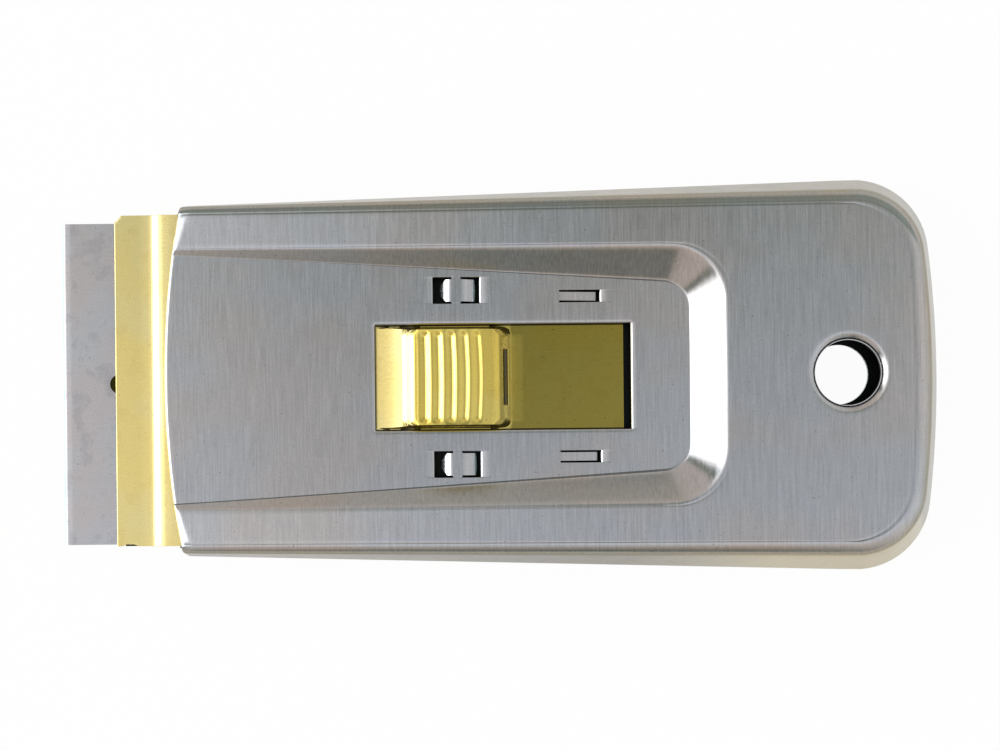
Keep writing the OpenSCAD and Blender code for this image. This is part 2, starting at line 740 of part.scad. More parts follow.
// A bowed leaf whose middle bears on the bottom sheet and whose hooked end stands in the slot
module slide_spring() color(spring_colour) from_front() {
    high = slide_low - fit_gap - spring_strip / 2;
    low = base_sheet + fit_gap + spring_strip / 2;
    bow = high - low;
    end_angle = atan(4 * bow / spring_length);
    right = slot_at - spring_bend * (1 - sin(end_angle));
    left = right - spring_length;
    hook = [for (i = [1:bend_steps])
                let (a = lerp(end_angle, 90, i / bend_steps))
                [right + spring_bend * (sin(a) - sin(end_angle)),
                 high + spring_bend * (cos(end_angle) - cos(a)), a]];
    tab_top = slide_top + slide_sheet;
    path = concat([for (i = [0:spring_steps])
                       let (u = 2 * i / spring_steps - 1)
                       [lerp(left, right, i / spring_steps), low + bow * u ^ 2,
                        atan(4 * bow * u / spring_length)]],
                  hook, [[slot_at, tab_top, 90]]);
    side = [for (p = path) spring_strip / 2 * [-sin(p.z), cos(p.z)]];
    drawn_across(spring_width)
        polygon(concat([for (i = [0:len(path) - 1]) [path[i].x, path[i].y] + side[i]],
                       [for (i = [len(path) - 1:-1:0]) [path[i].x, path[i].y] - side[i]]));
}

module razor_blade() color(blade_colour) from_front() {
    edge = -blade_reach;
    back = spine_back - spine_fold;
    difference() {
        drawn_across(blade_length, blade_middle / 2)
            polygon([[edge, (blade_low + blade_top) / 2], [edge + blade_bevel, blade_top],
                     [back, blade_top], [back, blade_low], [edge + blade_bevel, blade_low]]);
        translate([edge + blade_hole_set, blade_middle / 2, blade_low - overrun])
            cylinder(d = blade_hole, h = blade_strip + 2 * overrun, $fn = round_facets);
    }
}

module blade_spine() color(spine_colour) from_front() {
    radius = spine_thickness / 2;
    drawn_across(blade_length, blade_middle / 2)
        difference() {
            union() {
                translate([spine_back - spine_depth, spine_low])
                    square([spine_depth - radius, spine_thickness]);
                translate([spine_back - radius, spine_low + radius])
                    circle(r = radius, $fn = round_facets);
            }
            translate([spine_back - spine_depth - overrun, blade_low])
                square([overrun + spine_depth - spine_fold, blade_strip]);
        }
}

top_shell();
bottom_plate();
blade_carrier();
clamp_plate();
slide_spring();
razor_blade();
blade_spine();
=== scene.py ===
"""Razor blade scraper: the looks of the part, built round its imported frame.

Surfaces are worked out in millimetres with X from the middle of the body's front edge, Y across
and Z up, and are put into the meshes in metres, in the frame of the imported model.
"""

import math

import bpy
import numpy as np
from bpy.props import FloatProperty, FloatVectorProperty, PointerProperty
from bpy.types import Operator, Panel, PropertyGroup
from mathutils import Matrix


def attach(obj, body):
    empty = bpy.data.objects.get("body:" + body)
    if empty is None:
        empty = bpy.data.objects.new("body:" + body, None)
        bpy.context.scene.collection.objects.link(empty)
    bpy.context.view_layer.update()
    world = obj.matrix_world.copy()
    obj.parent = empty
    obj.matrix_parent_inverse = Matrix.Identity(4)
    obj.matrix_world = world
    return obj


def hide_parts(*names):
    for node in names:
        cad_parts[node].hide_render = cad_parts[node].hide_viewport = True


bl_info = {
    "name": "Razor blade scraper",
    "version": (1, 0, 0),
    "blender": (4, 5, 0),
    "location": "View3D > Sidebar > Scraper",
    "description": "Builds the surfaces and finishes of a razor blade scraper round its frame",
    "category": "Object",
}

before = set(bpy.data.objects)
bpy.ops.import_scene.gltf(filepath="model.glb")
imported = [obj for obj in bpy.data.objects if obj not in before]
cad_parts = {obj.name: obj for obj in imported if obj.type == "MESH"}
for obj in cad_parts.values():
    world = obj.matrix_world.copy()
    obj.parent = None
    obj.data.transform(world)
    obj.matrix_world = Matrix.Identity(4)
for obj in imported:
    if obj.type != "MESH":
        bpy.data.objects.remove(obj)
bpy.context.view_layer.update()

MM = 0.001
# Points in one cell of the size WELD become one. FAR stands for no cut edge near a point.
WELD = 0.002
WELD_SHIFT = 0.37
FAR = 1e3
SHARP = math.radians(38)


def lengths(group):
    """Turns a group's pairs of millimetres and description into lengths that the user may
    change, kept in metres and named after their places in the group."""
    for name, (millimetres, description) in group.__annotations__.items():
        group.__annotations__[name] = FloatProperty(
            name=name.replace("_", " ").capitalize(), description=description,
            default=millimetres * MM, min=0.0, precision=5, unit="LENGTH")
    return group


def colour(name, red, green, blue, description):
    return FloatVectorProperty(name=name, description=description, default=(red, green, blue),
                               min=0.0, max=1.0, size=3, subtype="COLOR")


@lengths
class BodySizes(PropertyGroup):
    """Sizes of the two body sheets."""
    body_length: (91.8, "Length of the body, without the blade")
    base_half: (20.88, "Half the width over the skirts' feet at the front")
    top_half: (20.33, "Half the width over the skirts' heads at the front")
    base_flare: (2.45, "How much the base widens on each side")
    top_flare: (0.67, "How much the upper outline widens on each side")
    rear_lean: (2.4, "How far the rear skirt leans in")
    corner_radius: (9.0, "Radius of the rear corners of the base")
    top_corner_radius: (8.0, "Radius of the upper rear corners")
    rear_bow: (127.0, "Radius of the bowed rear edge")
    front_bow: (112.0, "Radius of the bowed front edge")
    sheet: (0.7, "Thickness of the pressed upper sheet")
    bend_front: (1.0, "Outer radius above the skirts at the front")
    bend_rear: (2.2, "Outer radius above the skirts at the rear")
    panel_top: (3.65, "Height of the level panel's face")
    rim_rise: (0.25, "Height of the rims over the panel at the front")
    rim_climb: (4.55, "Height that the rims gain along the body")
    facet: (1.6, "Longest slope of the rims' front ends")
    edge_roll: (0.32, "Radius of the edges that the press has rolled over")
    shoulder: (0.6, "Width over which a rim falls away at its edges")
    shoulder_drop: (0.06, "How far a rim falls away at its edges")


@lengths
class PanelSizes(PropertyGroup):
    """Sizes of the sunk panel and its openings."""
    rim_width: (5.02, "Width of each rim at the front edge")
    recess_length: (65.7, "Front edge to the upper edge of the rear wall")
    recess_taper: (0.57, "How much the recess narrows on each side")
    recess_radius: (6.3, "Corner radius of the walls' upper edge")
    wall_front: (0.4, "Plan width of a side wall at the front edge")
    panel_taper: (3.71, "How much the level panel narrows on each side")
    wall_bend: (0.4, "Least plan width of a wall, which its bends take up")
    panel_length: (62.05, "Length of the level panel")
    panel_radius: (3.4, "Corner radius of the level panel")
    window_start: (24.9, "Front edge to the thumb window")
    window_end: (54.98, "Front edge to the far end of the thumb window")
    window_half: (6.175, "Half the width of the thumb window")
    guide_start: (31.8, "Front edge to the guide tabs' cut-outs")
    guide_length: (5.35, "Length of the cut-outs round a guide tab")
    guide_bridge: (1.1, "Width of the bridge between two arms")
    front_reach: (1.95, "Length of the front arms along their face")
    rear_reach: (2.05, "Length of the rear arms along their face")
    guide_bend: (1.1, "Outer radius of the arms' bend")
    guide_bulge: (1.3, "How far the front arms' middle outruns their corners")
    tab_inner: (8.75, "Middle to the inner edge of the cut-outs")
    guide_width: (3.0, "Width of the guide tabs' cut-outs")
    stop_start: (46.6, "Front edge to the root of the stop tongues")
    stop_length: (4.75, "Length of the stop tongues' cut-outs")
    stop_reach: (4.52, "Plan length of the stop tongues")
    stop_width: (1.4, "Width of the stop tongues' cut-outs")
    stop_drop: (0.85, "Height that the stop tongues are pressed down")
    cut_gap: (0.06, "Clearance of the tabs in their cut-outs")
    hole_at: (79.95, "Front edge to the middle of the hanging hole")
    hole_radius: (3.8, "Radius of the hanging hole")
    lip_bend: (1.0, "Outer radius of the hole's rolled lip")
    lip_depth: (1.7, "Depth of the rolled lip below the face")
    crimp_front: (34.0, "Front edge to the middle of the front crimps")
    crimp_rear: (66.0, "Front edge to the middle of the rear crimps")
    crimp_length: (6.0, "Length of the crimped tabs")
    crimp_reach: (1.9, "How far the crimped tabs reach under the bottom sheet")


@lengths
class CarrierSizes(PropertyGroup):
    """Sizes of the blade carrier and its thumb grip."""
    slide_half: (19.6, "Half the width of the carrier's lip")
    slide_top: (2.85, "Height of the carrier's upper face")
    slide_sheet: (0.6, "Thickness of the carrier's sheet")
    lip_reach: (5.95, "Distance that the lip stands out of the body")
    lip_flat: (4.45, "Lip's front edge to its bend line")
    lip_top: (2.415, "Height of the lip's upper face")
    step_length: (0.8, "Length of the step behind the bend line")
    wide_end: (8.4, "Front edge to the end of the wide part")
    stem_start: (9.9, "Front edge to the start of the stem")
    stem_half: (8.6, "Half the width of the stem")
    ear_half: (10.4, "Half the width over the ears")
    ear_length: (2.9, "Length of the ears")
    slide_end: (54.17, "Front edge to the carrier's rear edge")
    lip_chamfer: (0.85, "Size of the chamfer at the lip's closed corner")
    notch_depth: (0.25, "Depth of the notch at the lip's open corner")
    notch_length: (2.0, "Length of that notch")
    notch_set: (1.55, "Lip's front edge to the middle of the notch")
    grip_start: (27.05, "Front edge to the thumb grip")
    grip_length: (14.0, "Length of the grip's foot")
    grip_half: (6.0, "Half the width of the grip's foot")
    grip_rise: (2.35, "Height of the grip above the stem")
    crown_drop: (0.58, "How far the crown's ends lie below its middle")
    grip_lead: (2.05, "Length of the gentle rise in front of the grip")
    lead_rise: (0.58, "Height of the gentle rise where the steep slope starts")
    lead_over: (1.05, "How far the gentle rise runs into the grip's foot")
    grip_corner: (1.3, "Radius of the grip's corners in plan")
    front_slope: (2.45, "Length of the grip's front slope")
    rear_slope: (1.95, "Length of the grip's rear slope")
    side_slope: (0.4, "Width of the grip's side slopes")
    lead_side: (0.14, "Width of the side slopes in front of the grip")
    rib_pitch: (1.55, "Distance from rib to rib")
    rib_set: (0.5, "Front slope to the crest before the first groove")
    rib_depth: (0.24, "Depth of the grooves between the ribs")
    crest: (0.028, "Height of the thin crests at the crown's ends")
    crest_half: (0.28, "Half the width of those crests")
    slot_at: (40.22, "Front edge to the spring's slot")
    slot_half: (3.28, "Half the width of the spring's slot")
    slot_gap: (0.5, "Length of the spring's slot")


@lengths
class BladeSizes(PropertyGroup):
    """Sizes of the razor blade."""
    reach: (12.25, "Distance that the blade stands out of the body")
    back: (6.415, "Front edge to the hidden back of the strip")
    left: (18.7, "Middle to the end of the blade on the closed side")
    right: (19.4, "Middle to the end of the blade on the open side")
    low: (1.585, "Height of the strip's underside")
    strip: (0.23, "Thickness of the blade strip")
    bevel: (0.9, "Depth of the ground edge")
    hole_radius: (1.15, "Radius of the small round hole")
    hole_set: (6.65, "Edge to the middle of the hole")


class Finishes(PropertyGroup):
    """Colours of the metals."""
    steel: colour("Plated steel", 0.523, 0.522, 0.532, "Upper sheet")
    base: colour("Base steel", 0.40, 0.42, 0.43, "Bottom sheet")
    yellow: colour("Yellow plating", 0.88, 0.72, 0.20, "Blade carrier")
    blade: colour("Blade steel", 0.56, 0.555, 0.565, "Razor blade")
    spring: colour("Spring steel", 0.15, 0.125, 0.06, "Leaf spring")


class Millimetres:
    """Reads the lengths of a property group in millimetres."""

    def __init__(self, group):
        self.group = group

    def __getattr__(self, name):
        return getattr(self.group, name) / MM


def measures(context):
    """The finishes, and the lengths of body, panel, carrier and blade in millimetres."""
    scene = context.scene
    groups = scene.scraper_body, scene.scraper_panel, scene.scraper_carrier, scene.scraper_blade
    return scene.scraper_finish, *(Millimetres(group) for group in groups)


def lerp(a, b, share):
    """The straight line from a to b, at a share of its length."""
    return a + (b - a) * share


def unit(v):
    """Each vector over its length."""
    return v / np.linalg.norm(v, axis=-1, keepdims=True)


def held(v):
    """The value, held between 0 and 1."""
    return np.clip(v, 0, 1)


def over(v):
    """The value, or 0 where it is less."""
    return np.clip(v, 0, None)


def ease(t):
    """Rises from 0 to 1 as t does, level at both ends: t squared times three less two t."""
    t = held(t)
    return t * t * (3 - 2 * t)


def part_eased(t, share):
    """A straight rise from 0 to 1 with a share of the eased one in it."""
    return (1 - share) * held(t) + share * ease(t)


def polar(angle):
    """Points of the unit circle at the angles."""
    return np.stack([np.cos(angle), np.sin(angle)], axis=-1)


def spread(low, high, step):
    """Even places from low to high, about a step apart."""
    return np.linspace(low, high, max(2, round((high - low) / step) + 1))


def with_lines(even, lines, room):
    """The even places that keep clear of the named lines, together with those lines."""
    lines = np.asarray(lines, float)
    clear = np.abs(even[:, None] - lines[None, :]).min(axis=1) > room
    return np.unique(np.concatenate([even[clear], lines]))


def cell_middles(x, y):
    """Middles of a grid's cells, with their distance from the middle line in place of Y."""
    return (x[:-1, :-1] + x[1:, 1:]) / 2, np.abs(y[:-1, :-1] + y[1:, 1:]) / 2


def within(x, y, box, room=0.0):
    """Whether points lie in a box of x0, x1, y0 and y1 that is widened by a room."""
    x0, x1, y0, y1 = box
    return (x > x0 - room) & (x < x1 + room) & (y > y0 - room) & (y < y1 + room)


def off_box(x, y, box, crisp=1.0):
    """Distance of points from such a box, with their distance across it times crisp."""
    x0, x1, y0, y1 = box
    return np.hypot(over(np.maximum(x0 - x, x - x1)), crisp * over(np.maximum(y0 - y, y - y1)))


def open_block(outer, rows, columns):
    """The mask that leaves the cells between those rows and columns out of a grid, and the
    points round their border."""
    (k0, k1), (j0, j1) = rows[[0, -1]], columns[[0, -1]]
    keep = np.ones((outer.shape[0] - 1, outer.shape[1] - 1), bool)
    keep[k0:k1, j0:j1] = False
    return keep, np.concatenate([outer[k0, j0:j1], outer[k0:k1, j1], outer[k1, j1:j0:-1],
                                 outer[k1:k0:-1, j0]])


class Sheet:
    """Gathers the patches of one metal sheet: grids of outer points, the inner points below
    them, the distance of each point from the nearest cut edge, and its share of painted shade."""

    def __init__(self):
        self.parts, self.count = [], 0

    def add(self, outer, inner, reach=FAR, keep=None, ring=False, flip=False, grime=0.0):
        """Adds a grid of rows and columns. A quad joins two rows and two columns, ring joins
        the last column to the first, keep masks quads out and flip turns them over."""
        shape = outer.shape[:2]
        index = self.count + np.arange(shape[0] * shape[1]).reshape(shape)
        beside = np.roll(index, -1, axis=1) if ring else index[:, 1:]
        here = index if ring else index[:, :-1]
        quads = np.stack([here[:-1], beside[:-1], beside[1:], here[1:]], axis=-1)
        quads = (quads if keep is None else quads[keep]).reshape(-1, 4)
        self.parts.append((outer.reshape(-1, 3), inner.reshape(-1, 3),
                           *(np.broadcast_to(v, shape).reshape(-1) for v in (reach, grime)),
                           quads[:, ::-1] if flip else quads))
        self.count += index.size

    def close(self, roll, thickness):
        """Welds the patches where their outer points meet, rolls the cut edges over by a
        quarter circle, and joins outer and inner faces by a wall along every open edge."""
        outer, inner, reach, grime, quads = map(np.concatenate, zip(*self.parts))
        key = np.floor(outer / WELD + WELD_SHIFT).astype(np.int64)
        _, first, where = np.unique(key, axis=0, return_index=True, return_inverse=True)
        where = where.reshape(-1)
        nearest = np.full(len(first), FAR)
        np.minimum.at(nearest, where, reach)
        outer, inner, grime, quads = outer[first], inner[first], grime[first], where[quads]
        inside = np.clip(roll - nearest, 0.0, roll)
        drop = roll - np.sqrt(roll ** 2 - inside ** 2)
        outer = outer + (inner - outer) * (drop / thickness)[:, None]
        same = quads == np.roll(quads, -1, axis=1)
        faces = [quads[~same.any(axis=1)]]
        for corner in range(4):
            alone = same[:, corner] & (same.sum(axis=1) == 1)
            faces.append(np.delete(quads[alone], corner, axis=1))
        count = len(outer)
        codes = np.concatenate([f * count + np.roll(f, -1, axis=1) for f in faces], axis=None)
        starts, ends = codes // count, codes % count
        open_edge = ~np.isin(codes, ends * count + starts)
        a, b = starts[open_edge], ends[open_edge]
        wall = np.stack([b, a, a + count, b + count], axis=1)
        polygons = faces + [f[:, ::-1] + count for f in faces] + [wall]
        return np.concatenate([outer, inner]), polygons, np.append(grime, np.zeros(count))


def add_object(name, data):
    """A new object in the scene."""
    made = bpy.data.objects.new(name, data)
    bpy.context.scene.collection.objects.link(made)
    return made


def new_piece(name, points, polygons, grime, body_length):
    """Puts points, given in millimetres from the front edge, and polygons into an object, and
    the points' share of painted shade into an attribute of its mesh."""
    place = (points - [body_length / 2, 0, 0]) * MM
    mesh = bpy.data.meshes.new(name)
    mesh.from_pydata(place.tolist(), [], [f for p in polygons for f in p.tolist()])
    mesh.validate()
    mesh.shade_smooth()
    mesh.set_sharp_from_angle(angle=SHARP)
    mesh.update()
    mesh.attributes.new("grime", "FLOAT", "POINT").data.foreach_set("value", grime)
    return add_object(name, mesh)


def bow_edge(y, bow):
    """Distance of a bowed edge behind its middle: the radius less the root of its square less
    y squared."""
    return bow - np.sqrt(bow ** 2 - y ** 2)


def corner_middle(half, slope, reach, radius, bow):
    """Middle of the arc that touches a sloping side and a bowed rear edge from inside: the
    point a radius off the side that lies the bow less the radius from the bow's middle."""
    steep = 1 + slope ** 2
    rise = half - radius * math.sqrt(steep)
    middle = reach - bow
    b = rise * slope - middle
    x = (math.sqrt(b ** 2 - steep * (middle ** 2 + rise ** 2 - (bow - radius) ** 2)) - b) / steep
    return x, rise + slope * x


# Rows of points lie at these distances behind the front edge and beside the cut-outs' ends.
NEAR = np.array([0, .03, .08, .15, .26, .4, .6, .85, 1.1, 1.4, 1.75, 2.2, 2.8, 3.6, 4.7, 6.2,
                 8.0, 10.0])
COLLAR = np.array([.03, .08, .15, .26])
# The panel's rows lie about a step apart, clear of the named lines, and end before its corners.
ROW_STEP, ROW_ROOM, ROW_END = 1.6, 0.3, 1.9
# The half width of its last row is found from a first guess in a few rounds.
BACK_HALF, ROUNDS = 7.2, 4
CORNER_TURNS = np.linspace(0, 1, 15)[1:]
# Columns of points lie at these distances from the middle. Between the knots they stretch.
PAD_COLUMNS = np.array([
    0, .45, .9, 1.35, 1.8, 2.25, 2.7, 3.15, 3.6, 4.05, 4.5, 4.95, 5.4, 5.8, 6.175, 6.205, 6.255,
    6.325, 6.435, 6.7, 7.4, 8.1, 8.49, 8.6, 8.67, 8.72, 8.75, 8.81, 8.95, 9.2, 9.45, 9.7, 9.95,
    10.09, 10.15, 10.18, 10.23, 10.3, 10.4, 10.7, 11.0, 11.3, 11.55, 11.69, 11.75, 11.78, 11.83,
    11.95, 12.5, 13.2, 13.8, 14.0, 14.1, 14.2, 14.3])
KNOTS = np.array([0, 6.7, 10.4, 11.95, 14.0, 14.3])
MIDDLE_COLUMN = len(PAD_COLUMNS) - 1
BEND_STEPS = 14
EDGE_SHARES = np.array([.008, .02, .035, .055, .08, .11])
RIM_SHARES = np.concatenate([EDGE_SHARES, np.linspace(0.15, 0.85, 20), 1 - EDGE_SHARES[::-1]])
# Shares of a wall's plan width that its bends take up on each side of its head and its foot.
ROUND = 0.14
TOE = 0.06
WALL_SHARES = np.concatenate([np.linspace(-ROUND, ROUND, 10), np.linspace(ROUND, 1 - TOE, 9)[1:-1],
                              np.linspace(1 - TOE, 1 + TOE, 8)[:-1]])
TOE_LINES = np.array([.18, .14, .1, .03, 0])
# The rims' sloping front ends start this far from the middle and grow over this width.
GROOVE, GROOVE_SPAN = 14.8, 5.8
# The bow of the rows fades out over this length.
BOW_FADE = 20
# Degrees that the guide arms are bent, the share of the front arms' bulge that the rear ones
# have, and the length of a stop tongue's bend.
FRONT_ARM, REAR_ARM = 38, 32
REAR_BULGE = 1 / 8
STOP_BEND = 0.8
# A distance from a cut edge that is counted more often leaves the edge crisper.
WINDOW_CRISP, GUIDE_CRISP, STOP_CRISP = 1.0, 5.0, 10.0
TIP_CRISP, ARM_CRISP, TONGUE_CRISP = 2, 3, 6
# The crimps' clearance from the skirt, and the size of their rounded corners.
CRIMP_ROOM, CRIMP_CORNER = 0.02, 0.5
# The block of cells round the hanging hole: in front of its middle, behind it and beside it.
HOLE_BLOCK = 6.2, 5.8, 6.1
# Widths of the painted shade in the crease at the panel's edges, front and rear, on the +Y side
# and on the other.
CREASE = (0.09, 0.17), (0.02, 0.14)
CREASE_EDGE = 0.05


def pad_columns(half):
    """Places across the panel for a row of that half width: the named lines keep their places
    as long as the row is wide enough, and the last stretch reaches the row's end."""
    limits = np.array([0, half - 1.2, half - 0.4, half - 0.25, half - 0.12, half])
    places = np.minimum(np.append(KNOTS[:-2], [np.inf, np.inf]), limits)
    right = np.interp(PAD_COLUMNS, KNOTS, places)
    return np.concatenate([right[::-1], -right[1:]])


class Shell:
    """The pressed upper sheet."""

    def __init__(self, body, panel):
        self.b, self.p = body, panel
        self.climb = body.rim_climb / body.body_length
        self.straight = body.body_length - body.corner_radius
        self.tilt = math.atan(self.climb)
        self.up = np.array([-math.sin(self.tilt), 0, math.cos(self.tilt)])
        self.place_stations()

    def behind(self, x, y):
        """Distance behind the bowed front edge."""
        return x - bow_edge(y, self.b.front_bow)

    def rim_top(self, x):
        """Height of the rims' plane, which climbs evenly to the rear."""
        return self.b.panel_top + self.b.rim_rise + self.climb * x

    def facet(self, x, y):
        """Share of the rims' height behind the front edge. It rises along a parabola over a
        distance that grows with the root of the distance from the groove."""
        outward = np.clip(np.abs(y) - GROOVE, 0.1, None) / GROOVE_SPAN
        t = held(self.behind(x, y) / (self.b.facet * np.sqrt(outward)))
        return 1 - (1 - t) ** 2

    def face(self, x, y, share):
        """Height of the face at a share of the rims' height above the level panel."""
        rise = self.rim_top(x) - self.b.panel_top
        return self.b.panel_top + rise * self.facet(x, y) * share

    def outline(self, half, slope, reach, radius, bow, shares, back):
        """A U-shaped outline: up one side at named distances from the front edge, round the
        corner, across the bowed rear and back down the other side."""
        cx, cy = corner_middle(half, slope, reach, radius, bow)
        lean = math.atan(slope)
        start = bow_edge(half, self.b.front_bow)
        last = cx - radius * math.sin(lean)
        side_x = np.concatenate([start + NEAR, lerp(start + NEAR[-1], last, shares)])
        side = np.stack([side_x, half + slope * side_x], axis=1)
        turn = math.atan2(cy, cx - reach + bow)
        corner = [cx, cy] + radius * polar(lerp(math.pi / 2 + lean, turn, CORNER_TURNS))
        rear = [reach - bow, 0] + bow * polar(turn * back[1:-1])
        leg = np.concatenate([side, corner])
        return np.concatenate([leg, rear, leg[::-1] * [1, -1]])

    def wall_line(self, head, foot, share):
        """Points at a share of the walls' plan width, which never gets less than its bends."""
        way = foot - head
        run = np.hypot(np.linalg.norm(way, axis=1), self.p.wall_bend)[:, None]
        return head + run * unit(way) * share, run[:, 0]

    def place_stations(self):
        """Sets the four outlines, so that the rows of the panel fall on its named lines."""
        b, p = self.b, self.p
        recess_half = b.top_half - p.rim_width
        nearly_straight = b.body_length * 12
        shapes = (
            (b.base_half, b.base_flare / self.straight, b.body_length, b.corner_radius,
             b.rear_bow),
            (b.top_half, b.top_flare / self.straight, b.body_length - b.rear_lean,
             b.top_corner_radius, b.rear_bow),
            (recess_half, -p.recess_taper / p.recess_length, p.recess_length, p.recess_radius,
             nearly_straight),
            (recess_half - p.wall_front, -p.panel_taper / p.panel_length, p.panel_length,
             p.panel_radius, nearly_straight))
        guide_end = p.guide_start + p.guide_length
        arm = (p.guide_length - p.guide_bridge) / 2
        self.roots = (p.guide_start + arm, guide_end - arm)
        edges = [(p.window_start, -1), (p.window_end, 1), (p.guide_start, -1), (guide_end, 1),
                 (self.roots[0], 1), (self.roots[1], -1), (p.stop_start, -1),
                 (p.stop_start + p.stop_length, 1)]
        lines = np.concatenate([[x, *(x + side * COLLAR)] for x, side in edges])
        end = p.recess_length - p.recess_radius - ROW_END
        goal = rows = with_lines(spread(NEAR[-1] + ROW_STEP, end, ROW_STEP), lines, ROW_ROOM)
        self.leg = len(NEAR) + len(rows) + len(CORNER_TURNS)
        back_half = BACK_HALF
        for _ in range(ROUNDS):
            shares = (goal - NEAR[-1]) / (end - NEAR[-1])
            back = pad_columns(back_half) / back_half
            self.base, self.top, self.recess, self.panel = (
                self.outline(*shape, shares, back) for shape in shapes)
            toe, _ = self.wall_line(self.recess, self.panel, 1 + TOE)
            goal = goal + rows - toe[len(NEAR):len(NEAR) + len(rows), 0]
            back_half = toe[self.leg - 1, 1]

    def skirt(self, depth):
        """Rings up the skirt and over its bend. In the upright plane through foot and head the
        section is a straight line, then an arc that touches it and the rim's plane. A depth
        sets it inwards by the sheet."""
        b = self.b
        way = self.top - self.base
        run = np.linalg.norm(way, axis=1)
        inwards = way / run[:, None]
        level = np.ones_like(run)
        full = self.facet(self.top[:, 0], self.top[:, 1])
        rise = self.face(self.top[:, 0], self.top[:, 1], 1.0)
        fall = full * self.climb * way[:, 0] / run
        head = np.stack([run, rise], axis=1)
        down = -unit(head)
        along = unit(np.stack([level, fall], axis=1))
        n0 = unit(np.stack([rise, -run], axis=1))
        n2 = unit(np.stack([fall, -level], axis=1))
        corner = head + depth * (n0 + n2) / (1 + (n0 * n2).sum(axis=1, keepdims=True))
        start = np.stack([depth * np.linalg.norm(head, axis=1) / rise, 0 * run], axis=1)
        r = lerp(b.bend_front, b.bend_rear, self.top[:, 0] / b.body_length) - depth
        half = np.arccos((down * along).sum(axis=1)) / 2
        middle = corner + unit(down + along) * (r / np.sin(half))[:, None]
        ends = [corner + side * (r / np.tan(half))[:, None] - middle for side in (down, along)]
        a0, a2 = (np.arctan2(v[:, 1], v[:, 0]) for v in ends)
        angle = lerp(a0[None], a2[None], np.linspace(0, 1, BEND_STEPS + 1)[:, None])
        arc = middle[None] + r[None, :, None] * polar(angle)
        straight = lerp(start[None], arc[:1], np.linspace(0, 1, 6)[:-1, None, None])
        section = np.concatenate([straight, arc])
        place = self.base[None] + inwards[None] * section[..., :1]
        return np.concatenate([place, section[..., 1:]], axis=2)

    def rim_and_wall(self, bend_end):
        """Rings over the rim and down the wall. The rim is its plane, met by the bend along a
        parabola, and falls away along a parabola at both edges. The wall's height is a share of
        the rims' height that falls evenly over the wall's plan width, with a parabola at both
        ends."""
        b = self.b
        start, run = self.wall_line(self.recess, self.panel, -ROUND)
        v = RIM_SHARES[:, None]
        x, y = (lerp(bend_end[:, k], start[:, k], v) for k in range(2))
        error = bend_end[:, 2] - self.face(bend_end[:, 0], bend_end[:, 1], 1.0)
        wide = np.hypot(*(start - bend_end[:, :2]).T)
        near = [held(1 - share * wide / b.shoulder) ** 2 for share in (v, 1 - v)]
        fallen = b.shoulder_drop * (near[0] + near[1]) * self.facet(x, y)
        rim = np.stack([x, y, self.face(x, y, 1.0) + error * (1 - v) ** 2 - fallen], axis=2)
        last = 1 + TOE - TOE_LINES[:, None] / run
        room = 0.001 * np.arange(len(WALL_SHARES), 0, -1)[:, None]
        u = np.concatenate([np.minimum(WALL_SHARES[:, None], last[0] - room), last])
        place = self.recess[None] + (start - self.recess)[None] * (u / -ROUND)[..., None]
        upper = 1 - (u + ROUND) ** 2 / (4 * ROUND)
        lower = (1 + TOE - u) ** 2 / (4 * TOE)
        share = np.where(u < ROUND, upper, np.where(u > 1 - TOE, lower, 1 - u))
        fall = np.where(u < ROUND, (u + ROUND) / (2 * ROUND),
                        np.where(u > 1 - TOE, (1 + TOE - u) / (2 * TOE), 1.0))
        x, y = place[..., 0], place[..., 1]
        z = self.face(x, y, share)
        slant = np.hypot(1, (self.face(x, y, 1.0) - b.panel_top) * fall / run)
        low = np.maximum(b.panel_top - b.sheet, z - b.sheet * slant)
        wall, wall_inner = (np.stack([x, y, height], axis=2) for height in (z, low))
        return rim, wall, rim - b.sheet * self.up, wall_inner

    def hole_ring(self, loop, sheet):
        """Fills the block round the hanging hole. Rows run evenly from the block's border to
        a circle, over a quarter-circle bend and down the neck, square to the sloping face."""
        b, p = self.b, self.p
        along = np.array([math.cos(self.tilt), 0, math.sin(self.tilt)])
        middle = np.array([p.hole_at, 0, self.rim_top(p.hole_at)])
        angle = np.arctan2(loop[:, 1], (loop[:, 0] - p.hole_at) / math.cos(self.tilt))
        wide = p.hole_radius + p.lip_bend
        small = p.lip_bend - b.sheet

        def circle(radius, height):
            """Circles about the hole's axis, at heights over the face along its normal."""
            flat = radius[:, None, None] * polar(angle)
            return (middle + flat[..., :1] * along + flat[..., 1:] * [0, 1, 0]
                    + height[:, None, None] * self.up)

        turn = np.linspace(0, math.pi / 2, 13)[1:]
        neck = np.linspace(-p.lip_bend, -p.lip_depth, 5)[1:]
        rim = circle(np.array([wide]), np.array([0.0]))
        flat = lerp(loop[None], rim, np.linspace(0, 1, 7)[:, None, None])
        outer = np.concatenate([
            flat, circle(wide - p.lip_bend * np.sin(turn), p.lip_bend * (np.cos(turn) - 1)),
            circle(np.full(len(neck), p.hole_radius), neck)])
        inner = np.concatenate([
            flat - b.sheet * self.up,
            circle(wide - small * np.sin(turn), small * np.cos(turn) - p.lip_bend),
            circle(np.full(len(neck), p.hole_radius + b.sheet), neck)])
        # Painted shade on the neck's inner wall, deep in the hole.
        grime = np.zeros(outer.shape[:2])
        grime[-len(neck):] = 1.0
        sheet.add(outer, inner, ring=True, flip=True, grime=grime)

    def crease(self, away, places=slice(None)):
        """Share of painted shade at a distance from the wall's toe, in its crease. The line of
        painted shade widens to the rear and is broader at the wall that faces the +Y side. The
        rear wall's toe gets none."""
        facing = unit(self.panel - self.recess)[places, 1]
        behind = held(self.panel[places, 0] / self.p.panel_length)
        wide = np.where(facing > 0, *(lerp(*ends, behind) for ends in CREASE))
        return held((wide - np.abs(away)) / CREASE_EDGE) * facing ** 4

